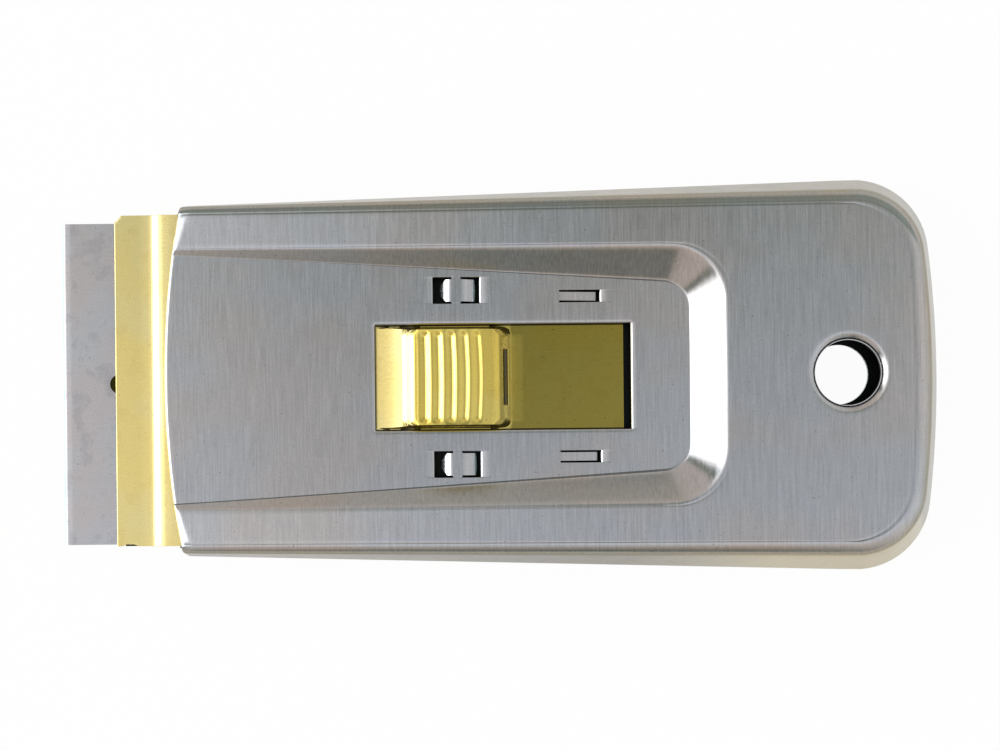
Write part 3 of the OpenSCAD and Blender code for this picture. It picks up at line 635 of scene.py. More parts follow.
    def pad(self, toe, sheet):
        """The level panel: rows that follow the bowed front edge and straighten out behind it,
        with the cells of the window and of the tabs' cut-outs left out."""
        b, p = self.b, self.p
        legs = toe[:self.leg], toe[::-1][:self.leg]
        half = legs[0][:, 1]
        y = np.stack([pad_columns(h) for h in half])
        fade = 1 - ease(self.behind(legs[0][:, 0], half) / BOW_FADE)
        bow = bow_edge(half, b.front_bow)[:, None] - bow_edge(y, b.front_bow)
        x = legs[0][:, :1] - bow * fade[:, None]
        x[-1], y[-1] = toe[self.leg - 1:len(toe) - self.leg + 1, :2].T
        outer = np.stack([x, y, np.full_like(x, b.panel_top)], axis=2)
        outer[:, 0, 2], outer[:, -1, 2] = legs[0][:, 2], legs[1][:, 2]
        guides = (p.tab_inner, p.tab_inner + p.guide_width)
        stops = (p.tab_inner, p.tab_inner + p.stop_width)
        boxes = (((p.window_start, p.window_end, -p.window_half, p.window_half), WINDOW_CRISP),
                 ((p.guide_start, self.roots[0], *guides), GUIDE_CRISP),
                 ((self.roots[1], p.guide_start + p.guide_length, *guides), GUIDE_CRISP),
                 ((p.stop_start, p.stop_start + p.stop_length, *stops), STOP_CRISP))
        across = np.abs(y)
        middles = cell_middles(x, y)
        keep = np.ones(middles[0].shape, bool)
        reach = self.behind(x, y)
        for box, crisp in boxes:
            keep &= ~within(*middles, box)
            reach = np.minimum(reach, off_box(x, across, box, crisp))
        rooted = (within(x, across, (*self.roots, *guides), WELD)
                  | within(x, across, (p.stop_start - 0.5, p.stop_start, *stops), WELD))
        rows = np.arange(self.leg)
        # Painted shade along the crease at the walls' toe, on both halves of the panel.
        grime = np.zeros_like(x)
        for columns, places in ((slice(0, len(PAD_COLUMNS)), rows),
                                (slice(len(PAD_COLUMNS), None), len(toe) - 1 - rows)):
            away = half[:, None] - across[:, columns]
            grime[:, columns] = self.crease(away.T, places).T
        sheet.add(outer, outer - [0, 0, b.sheet], np.where(rooted, FAR, reach), keep, grime=grime)
        self.tabs(x, y, sheet)

    def tab(self, x, y, root, side, width, way, shape, sheet):
        """One tab, welded to the panel along its root. From the distance off its middle, as a
        share of its half width, the shape gives how far its points go out and fall, the normal
        of its face, the distance to its end, and a factor for the distance to its sides."""
        b, p = self.b, self.p
        edge = p.tab_inner + p.cut_gap
        wide = width - 2 * p.cut_gap
        row = np.abs(x[:, MIDDLE_COLUMN] - root).argmin()
        pick = (side * y[row] > edge - WELD) & (side * y[row] < edge + wide + WELD)
        across = y[row][pick]
        off = (np.abs(across) - edge - wide / 2) / (wide / 2)
        out, fall, lean, level, left, crisp = shape(off)
        outer = np.stack(np.broadcast_arrays(x[row][pick] + way * out, across,
                                             b.panel_top - fall), axis=2)
        normal = np.stack(np.broadcast_arrays(way * lean, 0 * across, level), axis=2)
        reach = np.minimum(TIP_CRISP * left, crisp * wide * (1 - np.abs(off)))
        reach[0] = FAR
        sheet.add(outer, outer - b.sheet * normal, reach, flip=way < 0)

    def arm(self, reach, degrees, bulge):
        """Shape of a guide arm: an arc and a short straight end whose tip bulges along a
        parabola."""
        bend, angle = self.p.guide_bend, math.radians(degrees)

        def shape(off):
            end = reach - bulge * off ** 2
            t = np.linspace(0, 1, 15)[:, None] * end[None]
            bent = np.minimum(t, bend * angle) / bend
            rest = over(t - bend * angle)
            out = bend * np.sin(bent) + rest * math.cos(angle)
            fall = bend * (1 - np.cos(bent)) + rest * math.sin(angle)
            return out, fall, np.sin(bent), np.cos(bent), end - t, ARM_CRISP
        return shape

    def tongue(self, off):
        """Shape of a stop tongue, which bends along a parabola and then runs straight."""
        long = self.p.stop_reach
        t = np.concatenate([np.linspace(0, STOP_BEND, 5),
                            long - np.array([2, 1, .5, .26, .15, .08, .03, 0])])[:, None]
        slope = self.p.stop_drop / (long - STOP_BEND / 2)
        fall = np.where(t < STOP_BEND, t ** 2 / (2 * STOP_BEND), t - STOP_BEND / 2)
        return t, slope * fall, slope * held(t / STOP_BEND), 1.0, long - t, TONGUE_CRISP

    def tabs(self, x, y, sheet):
        """Guide arms and stop tongues on both sides of the window."""
        p = self.p
        tabs = ((self.roots[0], p.guide_width, -1,
                 self.arm(p.front_reach, FRONT_ARM, p.guide_bulge)),
                (self.roots[1], p.guide_width, 1,
                 self.arm(p.rear_reach, REAR_ARM, p.guide_bulge * REAR_BULGE)),
                (p.stop_start, p.stop_width, 1, self.tongue))
        for side in (1, -1):
            for root, width, way, shape in tabs:
                self.tab(x, y, root, side, width, way, shape, sheet)

    def crimps(self, sheet):
        """Tabs that turn in under the bottom sheet: an arc from the skirt's foot and a flat end
        whose corners are rounded off along a parabola."""
        b, p = self.b, self.p
        flare = b.base_flare / self.straight
        lean = (b.base_half - b.top_half + (flare - b.top_flare / self.straight) * p.crimp_rear)
        places = [((x, side * (b.base_half + flare * x)), (1, side * flare), (flare, -side))
                  for side in (1, -1) for x in (p.crimp_front, p.crimp_rear)]
        places.append(((b.body_length, 0), (0, 1), (-1, 0)))
        set_in = b.sheet * max(lean, b.rear_lean) / self.rim_top(p.crimp_rear) + CRIMP_ROOM
        share = np.linspace(-1, 1, 25)
        turn = np.linspace(0, math.pi / 2, 9)
        flat = np.linspace(0, 1, 9)[1:, None] * (p.crimp_reach - CRIMP_CORNER * share ** 8)
        inset = np.concatenate([b.sheet * (1 - np.cos(turn))[:, None] + 0 * share, b.sheet + flat])
        rise = np.concatenate([b.sheet * (1 - np.sin(turn)), np.zeros(8)])[:, None] + 0 * share
        reach = np.minimum(inset[-1] - inset, p.crimp_length / 2 * (1 - np.abs(share)))
        for start, along, inwards in places:
            start, along, inwards = (np.array([*v, 0.0]) for v in (start, along, inwards))
            along, inwards = unit(along), unit(inwards)
            foot = start + set_in * inwards + share[:, None] * p.crimp_length / 2 * along
            outer = foot[None] + inset[..., None] * inwards + rise[..., None] * [0, 0, 1]
            inner = foot[None] + np.maximum(inset, b.sheet)[..., None] * inwards + [0, 0, b.sheet]
            sheet.add(outer, inner, reach, flip=np.cross(along, inwards)[2] > 0)

    def build(self):
        """The whole sheet: skirt, rim and wall as one grid with a block left out round the
        hanging hole, then the hole's rings, the level panel with its tabs, and the crimps."""
        b, hole_at = self.b, self.p.hole_at
        before, after, beside = HOLE_BLOCK
        sheet = Sheet()
        outer_skirt, inner_skirt = self.skirt(0.0), self.skirt(b.sheet)
        rim, wall, rim_inner, wall_inner = self.rim_and_wall(outer_skirt[-1])
        outer = np.concatenate([outer_skirt, rim, wall])
        inner = np.concatenate([inner_skirt, rim_inner, wall_inner])
        x, y = outer[..., 0], outer[..., 1]
        # Painted shade along the crease at the walls' toe.
        grime = np.zeros_like(x)
        grime[-len(TOE_LINES):] = self.crease(TOE_LINES[:, None])
        start = len(outer_skirt)
        column = x[start:, outer.shape[1] // 2]
        rows = np.nonzero((column > hole_at - before) & (column < hole_at + after))[0] + start
        columns = np.nonzero((np.abs(y[rows[-1]]) < beside) & (x[rows[0]] > hole_at))[0]
        keep, loop = open_block(outer, rows, columns)
        sheet.add(outer, inner, self.behind(x, y), keep, grime=grime)
        self.hole_ring(loop, sheet)
        self.pad(outer[-1], sheet)
        self.crimps(sheet)
        return new_piece("pressed_shell", *sheet.close(b.edge_roll, b.sheet), b.body_length)


# The slide's plate rises slightly before its bend and behind its step, over these lengths.
LIP_RISE, LIP_RUN = 0.03, 0.75
PLATE_RISE, PLATE_RUN = 0.11, 2.6
EAR_STEP = 0.01
# Shares of an eased rise in the straight rises of plate and grip, and the gentle rise's power.
PLATE_EASE, FRONT_EASE, REAR_EASE = 0.25, 0.4, 0.2
LEAD_POWER = 1.25
SIDE_BEND = 0.78 * math.pi
# The grooves bow to the rear, more so at the rear end, and fade over this width at their ends.
GROOVES = 5
GROOVE_BOW, GROOVE_BOW_GAIN, GROOVE_FADE = 0.05, 0.3, 0.9
SLIDE_COLLAR = np.array([0, .01, .03, .06, .1])
SLIDE_ROLL, BLADE_ROLL = 0.06, 0.02
# Where the blade's ground facets start behind its edge, and their shares of its full thickness.
FACETS, FACET_RISE = (0, 0.12, 0.32), (0.02, 0.45, 0.75, 1.0)


class Carrier:
    """The yellow slide: lip, plate, stem with the thumb grip, and ears."""

    def __init__(self, sizes):
        self.s = sizes
        ears = sizes.slide_end - sizes.ear_length
        self.knots = [sizes.wide_end, sizes.stem_start, ears - EAR_STEP, ears]

    def half(self, x, closed):
        """Half the width at x, on the side with the chamfer or on the one with the notch."""
        s = self.s
        wide = np.full_like(x, s.slide_half)
        behind = x + s.lip_reach
        if closed:
            wide = np.minimum(wide, s.slide_half - s.lip_chamfer + behind)
        else:
            r = (s.notch_length ** 2 / 4 + s.notch_depth ** 2) / (2 * s.notch_depth)
            off = np.clip(behind - s.notch_set, -s.notch_length / 2, s.notch_length / 2)
            wide = wide - over(s.notch_depth - r + np.sqrt(r ** 2 - off ** 2))
        rear = np.interp(x, self.knots, [s.slide_half, s.stem_half, s.stem_half, s.ear_half])
        return np.where(x > s.wide_end, rear, wide)

    def plate(self, x):
        """Height of the plate: the lip, a slight rise to the bend, a step that rises as an
        eased line, and a shallow parabola up to the level plate behind it."""
        s = self.s
        bend = s.lip_flat - s.lip_reach
        before = LIP_RISE * held((x - bend + LIP_RUN) / LIP_RUN) ** 2
        t = (x - bend) / s.step_length
        after = PLATE_RISE * (1 - held(1 - (x - bend - s.step_length) / PLATE_RUN) ** 2)
        high = s.slide_top - s.lip_top - LIP_RISE - PLATE_RISE
        return s.lip_top + before + high * part_eased(t, PLATE_EASE) + np.where(t > 1, after, 0)

    def grip(self, x, y):
        """Height of the grip over the plate: a crown bowed along its length, a gentle rise and
        a steep slope in front of it, slopes at its other sides, corners round in plan, and
        grooves shaped as a raised cosine that fade before the side slopes."""
        s = self.s
        x = x - s.grip_start
        away = np.abs(y)
        crown_end = s.grip_length - s.rear_slope
        middle = (s.front_slope + crown_end) / 2
        off = np.clip((x - middle) / (middle - s.front_slope), -1, 1)
        crown = s.grip_rise - s.crown_drop * off ** 2
        into = np.clip(away - s.grip_half + s.grip_corner, 0, s.grip_corner)
        delay = s.grip_corner - np.sqrt(s.grip_corner ** 2 - into ** 2)
        foot = s.grip_rise - s.crown_drop
        gentle = held((x + s.grip_lead) / (s.grip_lead + s.lead_over)) ** LEAD_POWER
        steep = part_eased((x - delay - s.lead_over) / (s.front_slope - s.lead_over),
                           FRONT_EASE)
        front = (s.lead_rise * gentle + (foot - s.lead_rise) * steep) / foot
        rear = part_eased((s.grip_length - x - delay) / s.rear_slope, REAR_EASE)
        slope = lerp(s.lead_side, s.side_slope, held(x / s.front_slope))
        beside = held((s.grip_half - away) / slope)
        side = (1 - np.cos(SIDE_BEND * beside)) / (1 - math.cos(SIDE_BEND))
        back = held((x - s.front_slope) / (crown_end - s.front_slope))
        bowed = x + (GROOVE_BOW + GROOVE_BOW_GAIN * back) * (y / s.grip_half) ** 2
        first = s.front_slope + s.rib_set
        wave = (1 - np.cos(2 * math.pi * (bowed - s.front_slope - s.rib_set) / s.rib_pitch)) / 2
        inside = ease((s.grip_half - s.side_slope - away) / GROOVE_FADE)
        grooved = (bowed > first) & (bowed < first + GROOVES * s.rib_pitch)
        ends = [(1 + np.cos(math.pi * np.clip((bowed - at) / s.crest_half, -1, 1))) / 2
                for at in (s.front_slope, crown_end - s.crest_half)]
        fine = s.crest * (ends[0] + ends[1]) * inside - s.rib_depth * wave * inside * grooved
        return np.maximum(crown * front * rear * side + fine, 0)

    def build(self, body_length):
        """One grid inside the slide's outline, as high as plate and grip together, with the
        spring's slot left out. The underside is the same grid, a sheet's thickness lower."""
        s, collar = self.s, SLIDE_COLLAR
        front = -s.lip_reach
        bend = front + s.lip_flat
        slot = (s.slot_at - s.slot_gap / 2, s.slot_at + s.slot_gap / 2)
        lines = np.concatenate([
            front + collar, [front + s.lip_chamfer], spread(front + 0.3, front + 2.8, 0.14),
            spread(bend, bend + s.step_length, 0.08), self.knots, s.slide_end - collar])
        grip = np.concatenate([
            spread(s.grip_start - s.grip_lead, s.grip_start - 0.1, 0.2),
            spread(s.grip_start, s.grip_start + s.grip_length, 0.105)])
        grip = with_lines(grip, np.concatenate([slot, slot[0] - collar[1:], slot[1] + collar[1:]]),
                          0.03)
        even = spread(front, s.slide_end, 1.3)
        even = even[(even < s.grip_start - s.grip_lead - 0.1)
                    | (even > s.grip_start + s.grip_length + 0.2)]
        x = with_lines(even, np.concatenate([lines, grip]), 0.05)
        ribbed = s.grip_half - s.side_slope - 1.0
        y = np.unique(np.concatenate([
            spread(0, ribbed, 0.45), ribbed + spread(0, 1.0, 0.12),
            s.grip_half - spread(0, s.side_slope, 0.045), [s.slot_half],
            s.slot_half + collar[1:], [6.5, 7.5, s.stem_half], [9.5, s.ear_half],
            spread(11.5, s.slide_half - 1, 1.0), s.slide_half - spread(0.16, 1, 0.14),
            s.slide_half - collar]).round(4))
        left, right = self.half(x, True)[:, None], self.half(x, False)[:, None]
        across = np.clip(np.concatenate([y[::-1], -y[1:]])[None], -right, left)
        along = np.broadcast_to(x[:, None], across.shape)
        outer = np.stack([along, across, self.plate(along) + self.grip(along, across)], axis=2)
        box = (*slot, -s.slot_half, s.slot_half)
        reach = np.minimum.reduce([along - front, s.slide_end - along, left - across,
                                   across + right, off_box(along, np.abs(across), box)])
        sheet = Sheet()
        sheet.add(outer, outer - [0, 0, s.slide_sheet], reach,
                  ~within(*cell_middles(along, across), box))
        return new_piece("thumb_slide", *sheet.close(SLIDE_ROLL, s.slide_sheet), body_length)


class Blade:
    """The strip of the razor blade, ground from both sides to its edge."""

    def __init__(self, sizes):
        self.s = sizes

    def build(self, body_length):
        """A grid and its mirror image in the strip's middle plane. Straight facets rise from
        the edge to the bevel's end, and flat rings lead from a square block to the hole."""
        s = self.s
        edge = -s.reach
        hole = edge + s.hole_set
        block = 2 * s.hole_radius
        middle = (s.left - s.right) / 2
        bevel = np.array([0, .04, .08, .12, .2, .26, .32, .45, .6, .75, .9, 1.0])
        x = np.unique(np.concatenate([edge + bevel, spread(edge + 1.4, hole - block, 0.7),
                                      spread(hole - block, hole + block, 0.29),
                                      spread(hole + block, s.back, 1.2)]).round(5))
        y = np.unique(np.concatenate([
            spread(-s.right, middle - block, 1.2), spread(middle - block, middle + block, 0.29),
            spread(middle + block, s.left, 1.2), [s.left - .05, .05 - s.right]]).round(5))[::-1]
        half = s.strip / 2
        core = s.low + half
        rise = np.interp(x - edge, [*FACETS, s.bevel], FACET_RISE) * half
        along, across = np.meshgrid(x, y, indexing="ij")
        outer = np.stack([along, across, core + np.broadcast_to(rise[:, None], along.shape)], 2)
        rows, columns = (np.nonzero(np.abs(v - at) < block + 1e-4)[0]
                         for v, at in ((x, hole), (y, middle)))
        keep, loop = open_block(outer, rows, columns)
        angle = np.arctan2(loop[:, 1] - middle, loop[:, 0] - hole)
        rim = np.append([hole, middle] + s.hole_radius * polar(angle), loop[:, 2:], axis=1)
        flat = lerp(loop[None], rim[None], np.linspace(0, 1, 4)[:, None, None])
        reach = np.array([FAR, FAR, FAR, 0])[:, None]
        under, lift = [1, 1, -1], [0, 0, 2 * core]
        sheet = Sheet()
        sheet.add(outer, outer * under + lift, keep=keep)
        sheet.add(flat, flat * under + lift, reach, ring=True)
        return new_piece("blade_strip", *sheet.close(BLADE_ROLL, s.strip), body_length)


def binary(operation, turned=False):
    """A method that joins a wire and the other operand, or the other operand and the wire."""
    def method(wire, other):
        return wire.join(operation, *((other, wire) if turned else (wire, other)))
    return method


class Wire:
    """A socket that takes part in Python expressions."""

    def __init__(self, shading, socket):
        self.shading, self.socket = shading, socket

    def join(self, operation, *values):
        """The result of a Math node, fed by the values in their order."""
        return self.shading.node("ShaderNodeMath", {"operation": operation},
                                 **{f"i{k}": value for k, value in enumerate(values)})

    __add__ = __radd__ = binary("ADD")
    __mul__ = __rmul__ = binary("MULTIPLY")
    __sub__, __rsub__ = binary("SUBTRACT"), binary("SUBTRACT", turned=True)

    def __neg__(self):
        return self * -1.0

    def clamp(self):
        return self.join("MINIMUM", self.join("MAXIMUM", self, 0.0), 1.0)

    def between(self, low, high):
        """0 at low, 1 at high and an eased rise between them."""
        return self.shading.node("ShaderNodeMapRange", {"interpolation_type": "SMOOTHSTEP"},
                                 Value=self, From_Min=low, From_Max=high)


class Shading:
    """The nodes of one material or world."""

    def __init__(self, owner):
        owner.use_nodes = True
        self.tree = owner.node_tree
        self.tree.nodes.clear()

    def node(self, kind, settings=None, output=0, **inputs):
        """Adds a node, with its settings first and then values or links for its sockets, which
        are named by i and their number, or by their name with _ for a space."""
        made = self.tree.nodes.new(kind)
        for name, value in (settings or {}).items():
            if name == "stops":
                ramp = made.color_ramp
                while len(ramp.elements) < len(value):
                    ramp.elements.new(0.5)
                for element, (place, shade) in zip(ramp.elements, value):
                    element.position, element.color = place, (*shade, 1.0)
            else:
                setattr(made, name, value)
        for name, value in inputs.items():
            slot = made.inputs[int(name[1:]) if name[1:].isdigit() else name.replace("_", " ")]
            if isinstance(value, Wire):
                self.tree.links.new(value.socket, slot)
            else:
                slot.default_value = (*value, 1.0) if slot.type == "RGBA" else value
        return Wire(self, made.outputs[output]) if made.outputs else None

    def vector(self, operation, v, by):
        """A vector with an operation done to it by a number or a second vector."""
        name = "Scale" if operation == "SCALE" else "i1"
        return self.node("ShaderNodeVectorMath", {"operation": operation}, i0=v, **{name: by})

    def place(self):
        """Place on the piece, in millimetres."""
        return self.vector("SCALE", self.node("ShaderNodeTexCoord", output="Object"), 1 / MM)

    def axes(self, vector):
        return [self.node("ShaderNodeSeparateXYZ", output=k, i0=vector) for k in range(3)]

    def noise(self, place, stretch, detail=2.0, roughness=0.5, offset=(0, 0, 0)):
        """Noise whose spots are as long as stretch says, in millimetres along each axis."""
        scaled = self.node("ShaderNodeVectorMath", {"operation": "MULTIPLY_ADD"}, i0=place,
                           i1=tuple(1 / s for s in stretch), i2=offset)
        return self.node("ShaderNodeTexNoise", {"noise_dimensions": "3D"}, Vector=scaled,
                         Scale=1.0, Detail=detail, Roughness=roughness)

    def mix(self, share, a, b):
        return self.node("ShaderNodeMix", {"data_type": "RGBA"}, output=2, i0=share, i6=a, i7=b)


def tint(base, *factors):
    """The colour with each channel times its factor, and no more than 1."""
    return tuple(min(1.0, c * f) for c, f in zip(base, factors))


# Factors for painted shade in creases and in the hole's neck, for painted shade on cut edges and
# for painted shadow on the slide, and the grain's height.
SHADE_FACTORS = (0.12, 0.13, 0.12)
CUT_EDGE = (0.07, 0.1, 0.08)
SLIDE_SHADOW = (0.05, 0.05, 0.05)
RELIEF = 0.003
# The slide's painted tint changes over this length, painted shadow starts this far in front
# of its ears, and a painted shadow line reaches this far in from the window's sides.
TINT_FADE, EAR_SHADOW_LEAD, SHADOW_INSET = 0.3, 1, 0.12
# Factors of the warm and the cool tint that drift over the bright steels and over the plating.
STEEL_DRIFT = (1.02, 1.0, 0.98), (0.98, 1.0, 1.03)
PLATING_DRIFT = (1.0, 0.98, 0.9), (0.97, 1.0, 1.1)


def metal(name, base, warm, cool, grain, wide, rough, metallic=1.0, grain_share=0.05,
          stain=(0.5, 0.5, 0.5), stain_share=0.0, touch=None):
    """Metal with a fine directed grain, a broad drift between a warm and a cool tint, cloudy
    stains, small dark specks and a few finer scratches, under the painted shade of its mesh.
    touch paints light and shade into the colour of a piece's own places, from its place and
    the way its faces look."""
    material = bpy.data.materials.new(name)
    s = Shading(material)
    p = s.place()
    fine = s.noise(p, grain, 3.0, 0.6)
    finer = s.noise(p, tuple(g * k for g, k in zip(grain, (0.45, 3.0, 1.0))), 2.0, 0.5, (7, 3, 5))
    drift = s.noise(p, wide, 2.0, 0.5, (3, 11, 2))
    cloud = s.noise(p, (2.2, 2.6, 2.4), 4.0, 0.62, (1, 5, 9))
    speck = s.noise(p, (0.3, 0.3, 0.3), 1.0, 0.4, (13, 1, 4)).between(0.745, 0.79)
    pepper = s.noise(p, (0.18, 0.22, 0.2), 1.0, 0.5, (5, 2, 8))
    shade = (fine - 0.5) * (2 * grain_share) + (cloud - 0.5) * 0.10 + (pepper - 0.5) * 0.2 + 1.0
    tone = s.mix(drift.between(0.38, 0.62), tint(base, *warm), tint(base, *cool))
    tone = s.mix(cloud.between(0.5, 0.66) * stain_share, tone, stain)
    tone = s.vector("SCALE", tone, shade * (1.0 - speck * 0.45))
    if touch:
        tone = touch(s, tone, s.axes(p), s.axes(s.node("ShaderNodeNewGeometry", output="Normal")))
    # Painted shade from the mesh's attribute: darker, less metallic and rougher in creases and the
    # hole's neck.
    grime = s.node("ShaderNodeAttribute", {"attribute_name": "grime"}, output="Fac")
    roughness = (fine - 0.5) * 0.12 + (cloud - 0.5) * 0.1 + (drift - 0.5) * 0.05 + rough
    bump = s.node("ShaderNodeBump", Height=fine + finer * 0.5, Distance=RELIEF * MM, Strength=1.0)
    shader = s.node("ShaderNodeBsdfPrincipled", Base_Color=shaded(s, tone, (grime, SHADE_FACTORS)),
                    Metallic=(1.0 - grime) * metallic,
                    Roughness=(grime * 0.6 + roughness).clamp(), Normal=bump)
    s.node("ShaderNodeOutputMaterial", Surface=shader)
    return material


def shaded(s, tone, *steps):
    """The tone, multiplied by each step's factors where its share is 1."""
    for share, factors in steps:
        tone = s.mix(share, tone, s.vector("MULTIPLY", tone, factors))
    return tone


def away(axis):
    """Distance from the middle plane."""
    return axis.join("ABSOLUTE", axis)


def shell_touch(s, tone, place, normal):
    """Painted reflections and shade: darker skirts, the one on the -Y side darker in front and
    paler behind, a painted dark reflected line along the bend over the other, and painted shade
    on cut edges that look into the tool or away from the light."""
    x, y, _ = place
    ahead, beside, upright = normal
    outside = x.join("MAXIMUM", away(y).between(16.5, 17.0), x.between(39.0, 40.0))
    low = outside * (1.0 - upright.between(0.3, 0.6))
    lit = beside.between(-0.5, -0.3)
    bend_reflection = outside * beside.between(0.1, 0.2) * upright.between(0.8, 0.88)
    far = low * (1.0 - lit)
    inside = (1.0 - away(y).between(12.9, 13.0)) * x.between(-44.5, -44.0)
    cut = (1.0 - away(upright).between(0.06, 0.2)) * (1.0 - x.between(41.0, 42.0))
    middle = (1.0 - away(y).between(11.85, 11.95)) * (1.0 - x.between(13.5, 14.0))
    turned = ahead.join("MAXIMUM", ahead.between(0.6, 0.75), away(beside).between(0.72, 0.8))
    # Painted reflection and shade, step by step: the skirts' dark reflection, darker where they
    # face -Y, on the others darker in front and paler behind, a dark reflected line along the bend
    # that faces +Y, and shade on cut edges.
    return shaded(
        s, tone, (outside * (1.0 - upright.between(0.6, 0.93)), (0.6, 0.55, 0.41)),
        (low * lit, (0.75, 0.7, 0.62)),
        (far * (1.0 - x.between(5.0, 28.0)), (0.46, 0.43, 0.36)),
        (far * x.between(5.0, 28.0), (1.35, 1.26, 0.95)), (bend_reflection, (0.5, 0.58, 0.54)),
        (inside * cut, CUT_EDGE), (inside * middle * turned, CUT_EDGE))


def shade_above(s, tone, place, normal):
    """Painted shade on a face that looks up inside the tool, deep in its shadow."""
    return shaded(s, tone, (normal[2].between(0.4, 0.6), (0.05, 0.055, 0.05)))


def slide_touch(front, grip, rear, ears, stem, window):
    """Painted light on the plating: a pale highlight in front of the grip, a deeper yellow of
    bounced light behind it, a dark reflection behind its end, and painted shadow on the ears
    and along the window's edges.
    """
    def touch(s, tone, place, normal):
        x, y, _ = place
        behind = x.between(grip, grip + TINT_FADE)
        ear_shadow = x.between(ears, ears + 0.1) * away(y).between(stem, stem + 0.05)
        window_shadow = x.between(front, front + 0.1) * away(y).between(window, window + 0.03)
        # Painted light, step by step: a pale highlight in front of the crown, a deeper yellow of
        # bounced light from the crown back, a dark reflection behind the grip, and shadow on the
        # ears and along the window's sides.
        return shaded(s, tone, (1.0 - behind, (1.08, 1.1, 1.65)), (behind, (0.88, 0.85, 0.74)),
                      (x.between(rear - 0.5, rear), (0.48, 0.49, 0.4)),
                      (ear_shadow.join("MAXIMUM", ear_shadow, window_shadow), SLIDE_SHADOW))
    return touch


def blade_touch(edge):
    """A painted dark reflection along the ground edge's last tenth of a millimetre."""
    def touch(s, tone, place, normal):
        # Painted dark reflection on the edge's last ground facet.
        edge_reflection = 1.0 - place[0].between(edge + 0.1, edge + 0.16)
        return shaded(s, tone, (edge_reflection, (0.3, 0.42, 0.42)))
    return touch


def give(piece, material):
    """Makes the material the piece's only one."""
    piece.data.materials.clear()
    piece.data.materials.append(material)


class SCRAPER_OT_shell(Operator):
    """Builds the pressed upper sheet with its sunk panel, tabs and rolled hanging hole"""
    bl_idname = "scraper.shell"
    bl_label = "Upper sheet"

    def execute(self, context):
        finish, body, panel, _, _ = measures(context)
        piece = Shell(body, panel).build()
        give(piece, metal("plated_steel", finish.steel, (1.03, 0.99, 0.97), (0.97, 1.0, 1.04),
                          (0.2, 5.0, 0.6), (16, 11, 11), 0.22, grain_share=0.22,
                          stain=tint(finish.steel, 0.8, 0.8, 0.82), stain_share=0.25,
                          touch=shell_touch))
        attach(piece, "body")
        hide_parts("top_shell")
        return {"FINISHED"}


class SCRAPER_OT_base(Operator):
    """Gives the bottom sheet its finish"""
    bl_idname = "scraper.base"
    bl_label = "Bottom sheet"

    def execute(self, context):
        finish = context.scene.scraper_finish
        # The bottom sheet's upper face gets painted shade inside the tool.
        give(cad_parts["bottom_plate"],
             metal("base_steel", finish.base, *STEEL_DRIFT, (0.09, 3.0, 0.6), (14, 14, 14), 0.36,
                   touch=shade_above))
        return {"FINISHED"}


class SCRAPER_OT_carrier(Operator):
    """Builds the yellow blade carrier with its ribbed thumb grip, and finishes its clamp plate
    and leaf spring"""
    bl_idname = "scraper.carrier"
    bl_label = "Blade carrier"

    def execute(self, context):
        finish, body, panel, slide, _ = measures(context)
        piece = Carrier(slide).build(body.body_length)
        grip_end = slide.grip_start + slide.grip_length
        places = (slide.stem_start, slide.grip_start + slide.front_slope - TINT_FADE,
                  grip_end, slide.slide_end - slide.ear_length - EAR_SHADOW_LEAD)
        touch = slide_touch(*(x - body.body_length / 2 for x in places), slide.stem_half,
                            panel.window_half - SHADOW_INSET)
        give(piece, metal("yellow_plate", finish.yellow, *PLATING_DRIFT, (2.2, 0.08, 0.6),
                          (9, 9, 9), 0.13, metallic=0.93,
                          stain=tint(finish.yellow, 0.8, 0.76, 0.66), stain_share=0.3,
                          touch=touch))
        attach(piece, "carrier")
        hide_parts("blade_carrier")
        # The clamp plate's upper face gets painted shade, seen through the blade's hole.
        give(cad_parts["clamp_plate"],
             metal("clamp_finish", tint(finish.yellow, 0.8, 0.8, 0.8), *PLATING_DRIFT,
                   (2.2, 0.1, 0.6), (9, 9, 9), 0.34, touch=shade_above))
        give(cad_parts["slide_spring"],
             metal("spring_finish", finish.spring, (1.05, 1.0, 0.9), (0.9, 1.0, 1.15),
                   (2.0, 0.07, 0.5), (3, 3, 3), 0.28))
        return {"FINISHED"}


class SCRAPER_OT_blade(Operator):
    """Builds the ground strip of the razor blade and finishes its folded back"""
    bl_idname = "scraper.blade"
    bl_label = "Razor blade"

    def execute(self, context):
        finish, body, _, _, blade = measures(context)
        piece = Blade(blade).build(body.body_length)
        give(piece, metal("blade_steel", finish.blade, (1.03, 0.98, 0.98), (0.97, 1.0, 1.05),
                          (2.4, 0.07, 0.5), (6, 8, 6), 0.22,
                          stain=tint(finish.blade, 0.7, 0.7, 0.74), stain_share=0.5,
                          touch=blade_touch(-blade.reach - body.body_length / 2)))
        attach(piece, "carrier")
        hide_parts("razor_blade")
        give(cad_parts["blade_spine"],
             metal("spine_finish", tint(finish.blade, 0.8, 0.8, 0.8), *STEEL_DRIFT,
                   (2.4, 0.09, 0.5), (6, 8, 6), 0.32))
        return {"FINISHED"}


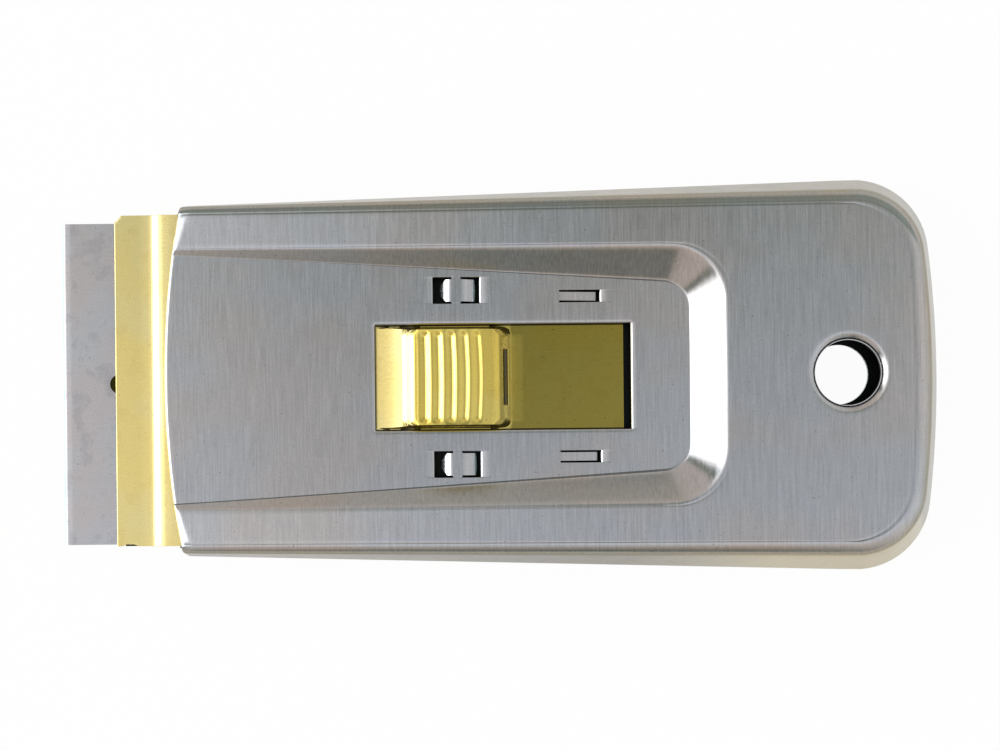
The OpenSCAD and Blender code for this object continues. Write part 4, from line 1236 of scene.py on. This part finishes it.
class SCRAPER_OT_stage(Operator):
    """Sets the pale floor, the soft studio light and the camera"""
    bl_idname = "scraper.stage"
    bl_label = "Stage"

    def execute(self, context):
        self.floor()
        self.sky(context)
        self.lamp()
        self.camera(context)
        context.scene.view_settings.view_transform = "Standard"
        return {"FINISHED"}

    def floor(self):
        """A level sheet just below the part's underside."""
        wide, low = 3.0, -0.0002
        mesh = bpy.data.meshes.new("floor")
        mesh.from_pydata([(-wide, -wide, low), (wide, -wide, low), (wide, wide, low),
                          (-wide, wide, low)], [], [(0, 1, 2, 3)])
        floor = add_object("floor", mesh)
        material = bpy.data.materials.new("floor_white")
        s = Shading(material)
        paper = s.node("ShaderNodeBsdfDiffuse", Color=(0.9, 0.9, 0.9))
        glow = s.node("ShaderNodeEmission", Color=(1, 1, 1), Strength=1.0)
        seen, glossy, through = (s.node("ShaderNodeLightPath", output=f"Is {kind} Ray")
                                 for kind in ("Camera", "Glossy", "Transmission"))
        for kind in (glossy, through):
            seen = seen.join("MAXIMUM", seen, kind)
        lit = s.node("ShaderNodeMixShader", i0=seen * 0.96, i1=paper, i2=glow)
        s.node("ShaderNodeOutputMaterial", Surface=lit)
        give(floor, material)

    def sky(self, context):
        """Light that a studio's walls throw: white on the blade's side, gray overhead, and
        paler and darker bands across the tool."""
        world = bpy.data.worlds.new("studio")
        context.scene.world = world
        s = Shading(world)
        x, y, _ = s.axes(s.node("ShaderNodeTexCoord", output="Generated"))
        stops = [(0.0, (0.16, 0.18, 0.16)), (0.06, (0.32, 0.3, 0.24)), (0.2, (0.64, 0.54, 0.44)),
                 (0.38, (0.85, 0.92, 1.0)), (0.46, (0.58, 0.6, 0.63)), (0.525, (0.5, 0.5, 0.51)),
                 (0.56, (0.24, 0.28, 0.25)), (0.71, (0.24, 0.3, 0.26)), (0.79, (0.7, 0.6, 0.54)),
                 (1.0, (0.5, 0.47, 0.4))]
        across = s.node("ShaderNodeValToRGB", {"stops": stops}, Fac=y * 0.5 + 0.5)
        beside = away(y)
        front = -x - beside
        pale = s.mix(beside.between(0.3, 0.5), (0.97, 0.95, 0.93), (0.72, 0.64, 0.58))
        sky = across
        for share, shade in (
                ((-x).between(0.04, 0.3) * 0.8, pale),
                (front.between(0.12, 0.2) * beside.between(0.25, 0.4), (0.1, 0.14, 0.1)),
                (front.between(0.38, 0.52), (1.6, 1.6, 1.6)),
                (front.between(0.58, 0.72), (4.5, 4.5, 4.5)),
                (x.between(0.0, 0.15) * 0.35, (0.95, 0.94, 0.92)),
                (x.between(0.3, 0.8) * 0.7, (0.9, 0.88, 0.84)),
                (s.node("ShaderNodeLightPath", output="Is Camera Ray"), (1, 1, 1))):
            sky = s.mix(share, sky, shade)
        light = s.node("ShaderNodeBackground", Color=sky, Strength=1.0)
        s.node("ShaderNodeOutputWorld", Surface=light)

    def lamp(self):
        """A square soft lamp high over the blade's end."""
        data = bpy.data.lights.new("softbox", "AREA")
        data.shape, data.size, data.energy = "SQUARE", 0.8, 2.0
        lamp = add_object("softbox", data)
        lamp.location = (-0.75, 0.1, 0.6)
        lamp.rotation_euler = (0, math.radians(-51), 0)

    def camera(self, context):
        """Straight above the tool, turned a little, with a shift up to the photograph's
        frame."""
        data = bpy.data.cameras.new("camera")
        data.lens, data.sensor_width, data.shift_y = 70.9, 36.0, 0.08
        camera = add_object("camera", data)
        camera.location = (-0.00643, -0.0092, 0.2357)
        camera.rotation_euler = (0, 0, math.radians(-0.557))
        data.clip_start, data.clip_end = 0.01, 10
        context.scene.camera = camera


class SCRAPER_PT_panel(Panel):
    """Lists the pieces"""
    bl_idname = "SCRAPER_PT_panel"
    bl_label = "Razor blade scraper"
    bl_space_type = "VIEW_3D"
    bl_region_type = "UI"
    bl_category = "Scraper"

    def draw(self, context):
        layout = self.layout
        for operator in OPERATORS:
            layout.operator(operator.bl_idname)
        for name in GROUPS:
            group = getattr(context.scene, name)
            column = layout.column()
            for prop in group.__annotations__:
                column.prop(group, prop)


GROUPS = {"scraper_body": BodySizes, "scraper_panel": PanelSizes,
          "scraper_carrier": CarrierSizes, "scraper_blade": BladeSizes,
          "scraper_finish": Finishes}
OPERATORS = (SCRAPER_OT_shell, SCRAPER_OT_base, SCRAPER_OT_carrier, SCRAPER_OT_blade,
             SCRAPER_OT_stage)
CLASSES = (*GROUPS.values(), *OPERATORS, SCRAPER_PT_panel)


def register():
    for made in CLASSES:
        bpy.utils.register_class(made)
    for name, group in GROUPS.items():
        setattr(bpy.types.Scene, name, PointerProperty(type=group))


def unregister():
    for name in GROUPS:
        delattr(bpy.types.Scene, name)
    for made in reversed(CLASSES):
        bpy.utils.unregister_class(made)


def main():
    register()
    bpy.ops.scraper.shell()
    bpy.ops.scraper.base()
    bpy.ops.scraper.carrier()
    bpy.ops.scraper.blade()
    bpy.ops.scraper.stage()


if __name__ == "__main__":
    main()
